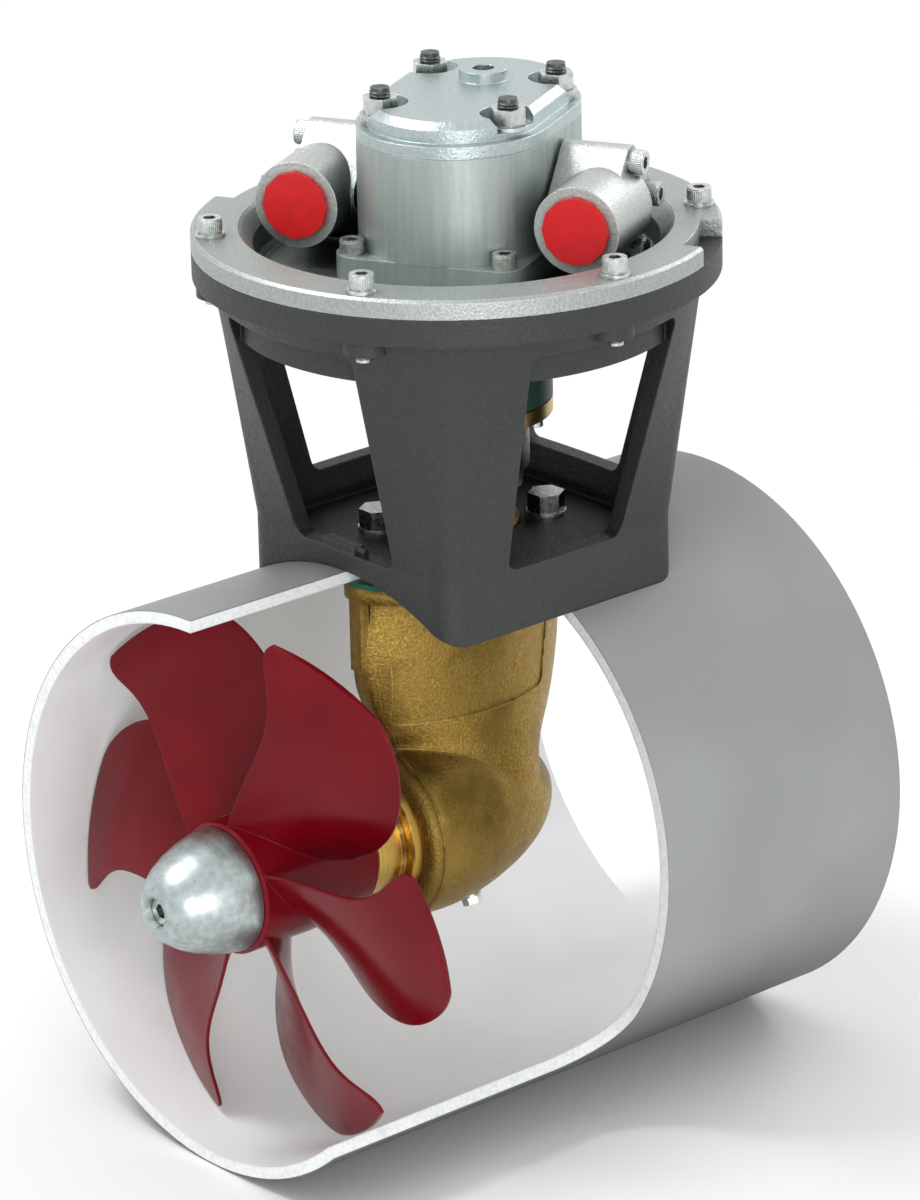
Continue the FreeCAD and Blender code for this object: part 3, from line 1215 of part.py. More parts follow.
def propeller_line():
    """Front cap, seal carrier, bearings, wheel and shaft, as distances forward of the leg axis."""
    front = size.case_front
    bearing_front = size.front_bearing_rear + size.bearing_width
    cap_front = front + size.cap_length
    spigot = size.case_cavity
    finish(turned("cap_turned", [
        (size.prop_bearing_rim, size.front_bearing_rear), (spigot - 1, size.front_bearing_rear),
        (spigot, size.front_bearing_rear + 1), (spigot, front), (size.cap_round, front), (size.cap_round,
                                                                                          front + 1),
        (size.cap_round - 3, cap_front - 2.5), (size.cap_round - 8, cap_front), (size.carrier_bore,
                                                                                 cap_front),
        (size.carrier_bore, bearing_front), (size.prop_bearing_rim, bearing_front)], FORWARD), "gearcase_cap")
    flange_front = cap_front + size.carrier_flange
    carrier_front = cap_front + size.carrier_length
    lip = size.prop_shaft + 0.6
    finish(turned("carrier_turned", [
        (size.carrier_bore, cap_front), (size.carrier_rim, cap_front), (size.carrier_rim, flange_front - 1),
        (size.carrier_rim - 1, flange_front), (size.carrier_barrel + 2, flange_front),
        (size.carrier_barrel, flange_front + 2), (size.carrier_barrel, carrier_front - 1.5),
        (size.carrier_barrel - 1.5, carrier_front), (lip, carrier_front), (lip, carrier_front - 5),
        (size.carrier_bore, carrier_front - 5)], FORWARD), "seal_carrier")
    seal("prop_seal", "prop_shaft_seal", size.prop_shaft, size.carrier_bore, carrier_front - 13,
         2 * size.seal_width, FORWARD)
    ball_bearing("front_prop_bearing", size.prop_shaft, size.prop_bearing_rim, size.bearing_width,
                 size.front_bearing_rear, FORWARD)
    ball_bearing("rear_prop_bearing", size.prop_shaft, size.prop_bearing_rim, size.bearing_width,
                 -size.rear_bearing_front - size.bearing_width, FORWARD)
    bevel_wheel()
    hub_rear = carrier_front + size.hub_gap
    shaft_front = hub_rear + size.hub_length - 6
    shaft_rear = -size.rear_bearing_front - size.bearing_width - 2
    shoulder = size.prop_shaft + 3
    wheel_back = size.front_bearing_rear - 18
    blank = turned("prop_shaft_turned", [
        (0, shaft_rear), (size.prop_shaft - 1, shaft_rear), (size.prop_shaft, shaft_rear + 1),
        (size.prop_shaft, wheel_back), (shoulder, wheel_back), (shoulder, size.front_bearing_rear),
        (size.prop_shaft, size.front_bearing_rear), (size.prop_shaft, shaft_front), (0,
                                                                                     shaft_front)], FORWARD)
    pin_at = hub_rear + 6
    pin_hole = cylinder("shaft_pin_hole", size.drive_pin, 40, (0, -pin_at, -20))
    thread = cylinder("shaft_thread", size.nose_screw, 24, (0, -shaft_front + 23, 0), FORWARD)
    finish(cut("prop_shaft_drilled", blank, pin_hole, thread), "prop_shaft")
    pin = cylinder("pin_round", size.drive_pin, 2 * size.drive_pin_half, (0, -pin_at, -size.drive_pin_half))
    finish(pin, "drive_pin")
    propeller(hub_rear)
    nose(hub_rear + size.hub_length, shaft_front)


def blade_row(radius, middle, sweep, half_angle, thick):
    """Points of a lens section wrapped on a cylinder about the tunnel axis: its front and its rear side."""
    pitch = float(size.blade_pitch)
    rake = pitch / (2 * math.pi * radius)
    length = math.hypot(1, rake)
    steps = 4
    front = []
    rear = []
    for n in range(steps + 1):
        share = 2 * n / steps - 1
        angle = half_angle * share
        swell = (0.5 * thick - BLADE_EDGE) * (1 - share * share) + BLADE_EDGE
        for points, way in ((front, 1), (rear, -1)):
            across = way * swell * rake / length / radius
            ahead = -angle * pitch / (2 * math.pi) + way * swell / length
            theta = sweep + angle + across
            points.append(Vector(radius * math.cos(theta), -middle + ahead, radius * math.sin(theta)))
    return front, rear


def blade(middle):
    """One blade: two smooth sides through wrapped sections, closed round their edges."""
    hub = float(size.hub_round)
    tip = float(size.blade_tip)
    root_thick = float(size.blade_root_thick)
    tip_thick = float(size.blade_tip_thick)
    fronts = []
    rears = []
    for share, sweep, half in BLADE_FORM:
        radius = hub + share * (tip - hub)
        fillet = max(0, 1 - share / FLARE_REACH) ** 2
        thick = root_thick + share * (tip_thick - root_thick) + float(size.blade_flare) * fillet
        front, rear = blade_row(radius, middle, math.radians(sweep), math.radians(half), thick)
        fronts.append(front)
        rears.append(rear)
    sides = []
    for grid in (fronts, rears):
        side = Part.BSplineSurface()
        side.interpolate(grid)
        sides.append(side)
    faces = [side.toShape() for side in sides]
    first, last = sides
    low_u, high_u, low_v, high_v = first.bounds()
    for at in (low_u, high_u):
        faces.append(Part.makeRuledSurface(first.uIso(at).toShape(), last.uIso(at).toShape()))
    for at in (low_v, high_v):
        faces.append(Part.makeRuledSurface(first.vIso(at).toShape(), last.vIso(at).toShape()))
    shell = Part.makeCompound(faces)
    shell.sewShape()
    solid = Part.Solid(shell.Shells[0])
    if solid.Volume < 0:
        solid.reverse()
    return solid


def propeller(hub_rear):
    front = hub_rear + size.hub_length
    hub = turned("hub_turned", [
        (size.prop_shaft, hub_rear), (size.hub_rear_round - 1.5, hub_rear), (size.hub_rear_round,
                                                                             hub_rear + 1.5),
        (size.hub_round, hub_rear + 0.45 * size.hub_length), (size.hub_round, front - 1.2),
        (size.hub_round - 1.2, front), (size.prop_shaft, front)], FORWARD)
    one = blade(float(hub_rear + size.blade_middle))
    blades = []
    for n in range(BLADES):
        copy = one.copy()
        copy.rotate(Vector(), Vector(0, 1, 0), 360 / BLADES * n)
        blades.append(shaped(f"blade_{n}", copy))
    slot = box("hub_pin_slot", 2 * size.drive_pin + 0.4, 6 + size.drive_pin + 1, 2 * size.drive_pin_half + 2,
               (-size.drive_pin - 0.2, -hub_rear - 6 - size.drive_pin, -size.drive_pin_half - 1))
    bore = cylinder("hub_bore", size.prop_shaft, size.hub_length + 2, (0, -hub_rear + 1, 0), FORWARD)
    solid = fuse("propeller_solid", hub, *blades)
    finish(cut("propeller_moulding", solid, slot, bore), "propeller")


def nose(base, shaft_front):
    """Nose cone turned from bar, held by one long socket screw."""
    r = size.nose_round
    tip = base + size.nose_length
    recess_foot = tip - 14
    profile = [(size.nose_bore, base), (r - 0.6, base), (r, base + 0.6)]
    for along, share in ((0.16, 0.975), (0.34, 0.92), (0.54, 0.825), (0.72, 0.705), (0.87, 0.56),
                         (0.96, 0.42)):
        profile.append((r * share, base + size.nose_length * along))
    profile += [(size.nose_recess + 1, tip), (size.nose_recess, tip - 1), (size.nose_recess, recess_foot),
                (size.nose_bore, recess_foot)]
    finish(turned("nose_turned", profile, FORWARD), "nose_cone")
    length = recess_foot - shaft_front + 20
    finish(socket_screw("nose_bolt", size.nose_screw - 0.2, length, (0, -recess_foot, 0), FORWARD),
           "nose_screw")


tunnel()
mounting_bracket()
motor_bowl()
ring_fasteners()
motor_housing()
motor_fasteners()
motor_gears()
bearing_blocks()
motor_shaft_seal()
port_details()
coupling()
coupling_screws()
drive_line()
gear_leg()
leg_details()
propeller_line()

doc.recompute()
faults = [o.Name for o in doc.Objects if "Invalid" in o.State or "Error" in o.State]
if faults:
    raise SystemExit(f"failed objects: {faults}")
for item in nodes:
    if item.Shape.isNull() or not item.Shape.isValid():
        raise SystemExit(f"bad shape: {item.Label}")
for item in nodes:
    item.Shape.exportStep(f"parts/{item.Label}.step")
print(len(nodes), "nodes written")
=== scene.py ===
# %% [markdown]
# A tunnel thruster pushes a boat's bow sideways. A hydraulic motor on a dark cast bracket drives
# a bronze leg, and the leg turns a six-bladed propeller inside a tube built across the hull.
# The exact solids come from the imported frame, so this lesson is about their finishes, the fine
# details that are too small for the solids, the light and the camera.

import json
import math

import bmesh
import bpy
import numpy as np
from mathutils import Matrix, Vector

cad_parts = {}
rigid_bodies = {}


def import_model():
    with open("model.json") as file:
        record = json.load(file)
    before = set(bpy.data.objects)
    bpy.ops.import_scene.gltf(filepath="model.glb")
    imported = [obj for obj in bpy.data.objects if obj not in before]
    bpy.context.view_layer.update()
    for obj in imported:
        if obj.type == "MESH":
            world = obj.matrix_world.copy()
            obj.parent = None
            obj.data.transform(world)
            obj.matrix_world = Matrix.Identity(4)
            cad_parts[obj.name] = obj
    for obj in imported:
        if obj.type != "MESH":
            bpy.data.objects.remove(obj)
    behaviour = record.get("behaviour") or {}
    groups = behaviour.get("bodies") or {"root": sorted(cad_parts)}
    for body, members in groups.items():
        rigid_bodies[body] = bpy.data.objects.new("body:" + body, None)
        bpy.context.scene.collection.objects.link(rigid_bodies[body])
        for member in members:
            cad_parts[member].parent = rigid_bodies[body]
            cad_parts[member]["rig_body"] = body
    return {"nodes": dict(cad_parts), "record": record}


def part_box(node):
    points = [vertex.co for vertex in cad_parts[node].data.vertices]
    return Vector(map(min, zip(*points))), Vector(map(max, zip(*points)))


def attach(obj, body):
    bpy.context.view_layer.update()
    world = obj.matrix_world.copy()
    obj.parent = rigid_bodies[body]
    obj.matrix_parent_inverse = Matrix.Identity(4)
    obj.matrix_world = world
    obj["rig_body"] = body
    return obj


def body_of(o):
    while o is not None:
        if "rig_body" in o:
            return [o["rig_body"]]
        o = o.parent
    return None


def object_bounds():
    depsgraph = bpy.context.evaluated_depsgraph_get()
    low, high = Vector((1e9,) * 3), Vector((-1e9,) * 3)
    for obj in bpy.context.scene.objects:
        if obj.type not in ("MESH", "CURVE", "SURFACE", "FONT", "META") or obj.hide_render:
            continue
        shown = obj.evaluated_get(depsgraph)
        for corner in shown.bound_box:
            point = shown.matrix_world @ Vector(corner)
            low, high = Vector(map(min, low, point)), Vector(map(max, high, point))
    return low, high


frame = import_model()
cad_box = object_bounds()
nodes = frame["nodes"]

# %% [markdown]
# The camera stands a few metres away and looks down on the thruster's left front. Its turn, rise
# and distance were found by fitting the round rims in the photograph. A long lens keeps the
# perspective as flat as it is there. The axes of the picture are worked out first, because the
# horizon is tipped a little and the aim point is given in those axes.

# %% Place the camera
VIEW_TURN = math.radians(49.41)
VIEW_RISE = math.radians(20.84)
VIEW_ROLL = math.radians(-1.26)
VIEW_DISTANCE = 3.1408
PHOTO_HEIGHT_PIXELS = 1200
FOCAL_PIXELS = 5704
SENSOR_MM = 36
AIM_RIGHT = -0.00476
AIM_UP = 0.11079

back = Vector((
    math.sin(VIEW_TURN) * math.cos(VIEW_RISE),
    -math.cos(VIEW_TURN) * math.cos(VIEW_RISE),
    math.sin(VIEW_RISE)))
level_right = Vector((math.cos(VIEW_TURN), math.sin(VIEW_TURN), 0))
level_up = back.cross(level_right)
right = math.cos(VIEW_ROLL) * level_right + math.sin(VIEW_ROLL) * level_up
up = math.cos(VIEW_ROLL) * level_up - math.sin(VIEW_ROLL) * level_right
eye = AIM_RIGHT * right + AIM_UP * up + VIEW_DISTANCE * back

lens = bpy.data.cameras.new("photo_camera")
lens.sensor_width = SENSOR_MM
lens.lens = FOCAL_PIXELS / PHOTO_HEIGHT_PIXELS * SENSOR_MM
camera = bpy.data.objects.new("photo_camera", lens)
camera.matrix_world = Matrix.Translation(eye) @ Matrix((right, up, back)).transposed().to_4x4()
bpy.context.scene.collection.objects.link(camera)
bpy.context.scene.camera = camera
print("camera at", tuple(round(c, 3) for c in eye), "lens", round(lens.lens, 1), "mm")

# %% [markdown]
# Colours in this lesson are written as they are read off a screen, while shaders work in linear
# light, so one function turns them. Another adds a node with its settings and its links, which
# keeps each recipe of a finish down to a few lines.

# %% Colours as a painter writes them
def linear(colour):
    """Turn an sRGB hex colour into the linear values that shaders work in."""
    parts = [int(colour[i:i + 2], 16) / 255 for i in (1, 3, 5)]
    return [p / 12.92 if p <= 0.04045 else ((p + 0.055) / 1.055) ** 2.4 for p in parts] + [1]


def add(tree, kind, inputs=None, **settings):
    """Add one node, set what it is told, and link each input that is given as a socket."""
    new = tree.nodes.new(kind)
    for name, value in settings.items():
        setattr(new, name, value)
    for name, value in (inputs or {}).items():
        if isinstance(value, bpy.types.NodeSocket):
            tree.links.new(value, new.inputs[name])
        else:
            new.inputs[name].default_value = value
    return new


print("white is", linear("#ffffff"))

# %% [markdown]
# The thruster stands on a pale floor that runs up into the white beyond it. The world gives soft
# light from all round, and it is plain white to the camera, through glass and in polished metal.

# %% World light
AMBIENT = 0.74


def seen_directly(tree):
    """1 for rays that show something to the camera, straight, through glass or in a shine."""
    rays = add(tree, "ShaderNodeLightPath").outputs
    pair = {0: rays["Is Camera Ray"], 1: rays["Is Transmission Ray"]}
    either = add(tree, "ShaderNodeMath", pair, operation="MAXIMUM").outputs[0]
    pair = {0: either, 1: rays["Is Glossy Ray"]}
    return add(tree, "ShaderNodeMath", pair, operation="MAXIMUM").outputs[0]


world = bpy.data.worlds.new("studio")
bpy.context.scene.world = world
world.use_nodes = True
sky = world.node_tree
level = add(sky, "ShaderNodeMapRange", {"Value": seen_directly(sky), "To Min": AMBIENT, "To Max": 1.0})
sky.links.new(level.outputs["Result"], sky.nodes["Background"].inputs["Strength"])
sky.nodes["Background"].inputs["Color"].default_value = linear("#ffffff")
bpy.context.scene.view_settings.view_transform = "Standard"
print("ambient level", AMBIENT)

# %% [markdown]
# A large soft lamp high on the left models the forms and throws the bracket's shadow over the
# tube. A broad weak one beside the camera looks into the tube and opens the shadows, and a strip
# behind draws a bright line along the upper rims.

# %% Lamps
low, high = cad_box
middle = (low + high) / 2


def lamp(name, place, width, height, watts):
    """A soft box of light that faces the middle of the thruster."""
    data = bpy.data.lights.new(name, "AREA")
    data.shape = "RECTANGLE"
    data.size = width
    data.size_y = height
    data.energy = watts
    box = bpy.data.objects.new(name, data)
    box.location = middle + Vector(place)
    box.rotation_euler = (-Vector(place)).to_track_quat("-Z", "Y").to_euler()
    bpy.context.scene.collection.objects.link(box)
    return box


lamp("key_light", place=(-0.9, -1.0, 2.3), width=0.8, height=0.8, watts=30)
lamp("fill_light", place=(2.6, -1.6, 0.4), width=1.8, height=1.4, watts=30)
lamp("rim_light", place=(0.2, 2.1, 1.5), width=1.8, height=0.5, watts=14)
print(len(bpy.data.lights), "lamps")

# %% [markdown]
# A finish is more than its colour. Each one below starts from what the real surface is made of
# and how it was made, because that sets how it shines: metals take their colour in the
# reflection, paints and plastics shine white over their colour. Patterns are given by their size
# in millimetres, and every edge gets a small rounding in the shader, as a real edge has.

# %% Helpers that every finish uses
STILL_FLAT = 0.985  # how far the rounded and the true normal agree where an edge begins
FULLY_WORN = 0.86  # and where it is worn right through
SHUT_IN = 0.2  # the open share of the sky in the deepest hollows


def start(name, metallic, roughness):
    """A new material with its shader."""
    material = bpy.data.materials.new(name)
    material.use_nodes = True
    shader = material.node_tree.nodes["Principled BSDF"]
    shader.inputs["Metallic"].default_value = metallic
    shader.inputs["Roughness"].default_value = roughness
    return material, material.node_tree, shader


def millimetres(tree):
    """The place on the surface in millimetres from the thruster's own centre."""
    spot = add(tree, "ShaderNodeTexCoord").outputs["Object"]
    scaled = {0: spot, 1: (1000, 1000, 1000)}
    return add(tree, "ShaderNodeVectorMath", scaled, operation="MULTIPLY").outputs[0]


def uneven(tree, size, low=0.35, high=0.65, detail=3, stretch=(1, 1, 1), spot=None):
    """0 to 1 in patches about size millimetres across, sharper the closer low and high are."""
    spot = spot or millimetres(tree)
    spot = add(tree, "ShaderNodeVectorMath", {0: spot, 1: stretch}, operation="MULTIPLY").outputs[0]
    noise = add(tree, "ShaderNodeTexNoise", {"Vector": spot, "Scale": 1 / size, "Detail": detail})
    limits = {"Value": noise.outputs[0], "From Min": low, "From Max": high}
    return add(tree, "ShaderNodeMapRange", limits).outputs[0]


def tinted(tree, factor, first, second):
    """A colour that goes from first to second as factor goes from 0 to 1."""
    ends = [c if isinstance(c, bpy.types.NodeSocket) else linear(c) for c in (first, second)]
    return add(tree, "ShaderNodeMix", {0: factor, 6: ends[0], 7: ends[1]}, data_type="RGBA").outputs[2]


def between(tree, factor, low, high):
    """A number that goes from low to high as factor goes from 0 to 1."""
    return add(tree, "ShaderNodeMapRange", {"Value": factor, "To Min": low, "To Max": high}).outputs[0]


def surface(tree, shader, height, depth, edge=0.5):
    """Raise the skin by up to depth millimetres where height is 1, and round edges by edge."""
    rounded = add(tree, "ShaderNodeBevel", {"Radius": edge / 1000}, samples=4).outputs[0]
    bump = add(tree, "ShaderNodeBump", {"Height": height, "Distance": depth / 1000, "Normal": rounded})
    tree.links.new(bump.outputs[0], shader.inputs["Normal"])


def worn_edge(tree, reach, strength=0.5):
    """1 along outer edges and corners within reach millimetres, broken up in patches."""
    rounded = add(tree, "ShaderNodeBevel", {"Radius": reach / 1000}, samples=4).outputs[0]
    flat = add(tree, "ShaderNodeNewGeometry").outputs["Normal"]
    pair = {0: rounded, 1: flat}
    agree = add(tree, "ShaderNodeVectorMath", pair, operation="DOT_PRODUCT").outputs["Value"]
    limits = {"Value": agree, "From Min": STILL_FLAT, "From Max": FULLY_WORN}
    edge = add(tree, "ShaderNodeMapRange", limits).outputs[0]
    patches = uneven(tree, 7, 0.3, 0.6)
    broken = add(tree, "ShaderNodeMath", {0: edge, 1: patches}, operation="MULTIPLY").outputs[0]
    return add(tree, "ShaderNodeMath", {0: broken, 1: strength}, operation="MULTIPLY").outputs[0]


def hollows(tree, reach, clear=0.8):
    """0 deep inside hollows about reach millimetres wide, 1 where the share clear is open."""
    occlusion = add(tree, "ShaderNodeAmbientOcclusion", {"Distance": reach / 1000}, samples=4)
    limits = {"Value": occlusion.outputs["AO"], "From Min": SHUT_IN, "From Max": clear}
    return add(tree, "ShaderNodeMapRange", limits).outputs[0]


def turned(tree, axis, pitch):
    """Fine grooves round the named axis, about pitch millimetres apart, as a lathe leaves them."""
    spot = millimetres(tree)
    keep = {"Y": (1, 0, 1), "Z": (1, 1, 0)}[axis]
    radius = add(tree, "ShaderNodeVectorMath", {0: spot, 1: keep}, operation="MULTIPLY").outputs[0]
    radius = add(tree, "ShaderNodeVectorMath", {0: radius}, operation="LENGTH").outputs["Value"]
    along = add(tree, "ShaderNodeSeparateXYZ", {0: spot}).outputs[axis]
    line = add(tree, "ShaderNodeCombineXYZ", {0: radius, 1: along}).outputs[0]
    return uneven(tree, pitch, 0.3, 0.7, detail=2, spot=line)


print("helpers ready")

# %% [markdown]
# The tube is glass-fibre laminate. Inside it has white gelcoat from a polished former: smooth,
# glossy and a little wavy. Outside it has a thin coat of mid-grey topcoat over the cloth, and
# where it was sawn the white laminate is bare and dull. One material tells the three apart by
# the distance from the tube's axis. Where the topcoat is shut in, as beside the bracket's foot,
# it is painted darker as painted shade.

# %% Glass-fibre tube
WALL_MM = 7
COAT_MM = 0.5


def laminate():
    """Gelcoat inside, grey topcoat outside and sawn fibre on the cut edges."""
    material, tree, shader = start("gelcoated_glass_fibre", 0, 0.4)
    spot = millimetres(tree)
    across = add(tree, "ShaderNodeVectorMath", {0: spot, 1: (1, 0, 1)}, operation="MULTIPLY").outputs[0]
    radius = add(tree, "ShaderNodeVectorMath", {0: across}, operation="LENGTH").outputs["Value"]
    outer_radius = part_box("tunnel")[1].x * 1000
    inner_radius = outer_radius - WALL_MM
    past = {0: radius, 1: outer_radius - COAT_MM}
    outside = add(tree, "ShaderNodeMath", past, operation="GREATER_THAN").outputs[0]
    past = {0: radius, 1: inner_radius + COAT_MM}
    within = add(tree, "ShaderNodeMath", past, operation="GREATER_THAN").outputs[0]
    sawn = add(tree, "ShaderNodeMath", {0: within, 1: outside}, operation="SUBTRACT").outputs[0]
    fibre = uneven(tree, 1.6, stretch=(1, 0.25, 1))
    gel = tinted(tree, uneven(tree, 60), "#edeff0", "#f3f5f5")
    strands = tinted(tree, uneven(tree, 2.4, 0.4, 0.7), "#f0f3f2", "#dde3e2")
    pale = tinted(tree, sawn, gel, strands)
    grey = tinted(tree, uneven(tree, 90, detail=1), "#8e9092", "#97999b")
    # Painted shade: the topcoat turns near black where it is shut in, as beside the bracket's foot.
    grey = tinted(tree, hollows(tree, 110, 0.97), "#3f4143", grey)
    colour = tinted(tree, outside, pale, grey)
    tree.links.new(colour, shader.inputs["Base Color"])
    tree.links.new(between(tree, outside, 0.33, 0.48), shader.inputs["Roughness"])
    weave = {0: fibre, 1: between(tree, sawn, 0.05, 1)}
    relief = add(tree, "ShaderNodeMath", weave, operation="MULTIPLY").outputs[0]
    surface(tree, shader, relief, 0.2, 1.2)
    return material


tube_laminate = laminate()
print(tube_laminate.name)

# %% [markdown]
# The bracket is one big sand casting, painted dark grey. The sand leaves a pebbled skin that the
# paint softens but does not fill, so the light breaks up over it. The paint is thin on the
# corners and a shade lighter there. Deep in its hollows the colour is painted almost black, as
# painted shade.

# %% Painted casting
def painted_casting():
    """Dark grey paint over a sand-cast skin, with painted shade in its hollows."""
    material, tree, shader = start("dark_grey_paint_on_casting", 0, 0.5)
    mottled = tinted(tree, uneven(tree, 1.4), "#272a29", "#313433")
    # Painted shade: near black deep inside the bracket's hollows.
    colour = tinted(tree, hollows(tree, 140), "#070808", mottled)
    colour = tinted(tree, worn_edge(tree, 1.5, 0.5), colour, "#5c5f5e")
    tree.links.new(colour, shader.inputs["Base Color"])
    tree.links.new(between(tree, uneven(tree, 2.5), 0.48, 0.6), shader.inputs["Roughness"])
    # Casting sand is about 0.3 mm across. It is drawn at 2.2 mm, the finest that shows here.
    surface(tree, shader, uneven(tree, 2.2, 0.3, 0.7), 0.14, 1.6)
    return material


bracket_paint = painted_casting()
print(bracket_paint.name)

# %% [markdown]
# The motor and its adapter bowl are aluminium, made in three ways. The bowl and the hose elbows
# are sand cast and blasted, so they are dull and grainy, and their hollows get a painted
# greenish shade. The motor body is an extrusion with faint lines along it. The cover is a finer
# casting, a little bluer because it was not machined.

# %% Aluminium
def cast_aluminium(name, dark, light):
    """Blasted sand casting, with a painted greenish shade in its hollows."""
    material, tree, shader = start(name, 1, 0.45)
    colour = tinted(tree, uneven(tree, 1.3, 0.3, 0.7), dark, light)
    # Painted shade: greenish grey in the hollows, such as inside the bowl.
    colour = tinted(tree, hollows(tree, 35), "#59625e", colour)
    colour = tinted(tree, worn_edge(tree, 1.0, 0.9), colour, "#eef0ef")
    tree.links.new(colour, shader.inputs["Base Color"])
    tree.links.new(between(tree, uneven(tree, 3), 0.42, 0.5), shader.inputs["Roughness"])
    surface(tree, shader, uneven(tree, 1.5), 0.09, 0.8)
    return material


def extruded_aluminium():
    """Extrusion with faint lines along the motor's axis."""
    material, tree, shader = start("extruded_aluminium", 1, 0.38)
    lines = uneven(tree, 4, stretch=(1, 1, 0.05), detail=2)
    tree.links.new(tinted(tree, lines, "#a9b4b0", "#b5bfbb"), shader.inputs["Base Color"])
    tree.links.new(between(tree, uneven(tree, 2), 0.48, 0.56), shader.inputs["Roughness"])
    surface(tree, shader, lines, 0.002, 0.6)
    return material


def cover_casting():
    """Fine-grained casting of the motor's cover."""
    material, tree, shader = start("fine_cast_aluminium", 1, 0.42)
    colour = tinted(tree, uneven(tree, 2), "#b0bcbd", "#bfc9c9")
    colour = tinted(tree, worn_edge(tree, 1.2, 0.9), colour, "#d8dfe1")
    tree.links.new(colour, shader.inputs["Base Color"])
    tree.links.new(between(tree, uneven(tree, 3), 0.34, 0.42), shader.inputs["Roughness"])
    surface(tree, shader, uneven(tree, 1.5), 0.08, 1.0)
    return material


bowl_casting = cast_aluminium("blasted_cast_aluminium", "#9fa5a2", "#babfbc")
elbow_casting = cast_aluminium("pale_cast_aluminium", "#b4b8b5", "#d2d5d3")
extrusion = extruded_aluminium()
motor_cover = cover_casting()
print(bowl_casting.name, elbow_casting.name, extrusion.name, motor_cover.name)

# %% [markdown]
# The leg and its cap are bronze, sand cast and left as they came from the blasting. The skin is
# grainy gold where it was rubbed and brown where it has tarnished, in broad patches and in the
# corners. The pattern's edges are round, so the shader rounds them by 7 mm. The seal carrier is
# the same metal turned bright on a lathe.

# %% Bronze
def cast_bronze():
    """Sand-cast bronze with a brown tarnish in its hollows."""
    material, tree, shader = start("sand_cast_bronze", 1, 0.4)
    grain = tinted(tree, uneven(tree, 1.3, 0.35, 0.65), "#806630", "#b2944c")
    colour = tinted(tree, uneven(tree, 22, 0.3, 0.7), grain, "#9c8041")
    colour = tinted(tree, uneven(tree, 48, 0.5, 0.7), colour, "#6b5526")
    colour = tinted(tree, hollows(tree, 30), "#4a3912", colour)
    colour = tinted(tree, worn_edge(tree, 1.4, 0.8), colour, "#d8b96a")
    tree.links.new(colour, shader.inputs["Base Color"])
    tree.links.new(between(tree, uneven(tree, 4), 0.36, 0.5), shader.inputs["Roughness"])
    surface(tree, shader, uneven(tree, 1.6, 0.3, 0.7), 0.2, 7)
    return material


def turned_bronze(name, axis):
    """Bright bronze with lathe marks round the named axis."""
    material, tree, shader = start(name, 1, 0.28)
    marks = turned(tree, axis, 0.8)
    tree.links.new(tinted(tree, marks, "#c9a24f", "#dcb968"), shader.inputs["Base Color"])
    tree.links.new(between(tree, uneven(tree, 8), 0.22, 0.36), shader.inputs["Roughness"])
    surface(tree, shader, marks, 0.02, 0.4)
    return material


leg_bronze = cast_bronze()
seal_bronze = turned_bronze("turned_seal_bronze", "Y")
bush_bronze = turned_bronze("bearing_bronze", "Z")
print(leg_bronze.name, seal_bronze.name, bush_bronze.name)

# %% [markdown]
# Steel comes in four coats here. Screws, nuts and washers are zinc plated: bright, slightly
# cloudy and cool, with painted shade where they are shut in, dark on the bolts low in the
# bracket. The studs and coupling halves are blackened, with painted shade that makes them
# darkest between the turns of a thread. The coupling's ring has a yellow coat.
# Shafts, gears and bearings are bare ground steel with marks round their axis.

# %% Steel
def plated_steel(name="zinc_plated_steel", painted_shade="#959b98", reach=10):
    """Zinc-plated fasteners, with painted shade where they are shut in."""
    material, tree, shader = start(name, 1, 0.3)
    zinc = tinted(tree, uneven(tree, 3), "#bfc4c1", "#d9dcd8")
    # Painted shade: the zinc darkens where it is shut in, to near black on the bolts low in the
    # bracket.
    tree.links.new(tinted(tree, hollows(tree, reach), painted_shade, zinc), shader.inputs["Base Color"])
    tree.links.new(between(tree, uneven(tree, 2), 0.24, 0.4), shader.inputs["Roughness"])
    surface(tree, shader, uneven(tree, 1.2), 0.02, 0.5)
    return material


def blackened_steel():
    """Black oxide over steel, rubbed bright on the edges, with painted shade between the turns of a
    thread.
    """
    material, tree, shader = start("black_oxide_steel", 1, 0.38)
    colour = tinted(tree, uneven(tree, 4), "#4a5150", "#626a68")
    # Painted shade: near black in the narrow hollows between the turns of a thread.
    colour = tinted(tree, hollows(tree, 2.5, 0.95), "#070b0b", colour)
    colour = tinted(tree, worn_edge(tree, 0.7, 0.5), colour, "#808487")
    tree.links.new(colour, shader.inputs["Base Color"])
    tree.links.new(between(tree, uneven(tree, 3), 0.3, 0.48), shader.inputs["Roughness"])
    surface(tree, shader, uneven(tree, 1.2), 0.02, 0.4)
    return material


def ground_steel(name, axis):
    """Bare ground steel with fine marks round the named axis."""
    material, tree, shader = start(name, 1, 0.25)
    marks = turned(tree, axis, 0.6)
    tree.links.new(tinted(tree, marks, "#b4b6b8", "#c8cacc"), shader.inputs["Base Color"])
    tree.links.new(between(tree, uneven(tree, 6), 0.2, 0.34), shader.inputs["Roughness"])
    surface(tree, shader, marks, 0.01, 0.3)
    return material


def yellow_plated():
    """Zinc with a yellow chromate, which is gold with faint pink clouds."""
    material, tree, shader = start("yellow_chromate_on_steel", 1, 0.3)
    cloudy = tinted(tree, uneven(tree, 5), "#b89a48", "#cdb470")
    pinkish = tinted(tree, uneven(tree, 9, 0.5, 0.8), cloudy, "#b98f6a")
    tree.links.new(pinkish, shader.inputs["Base Color"])
    surface(tree, shader, turned(tree, "Z", 0.7), 0.02, 0.4)
    return material


zinc_plate = plated_steel()
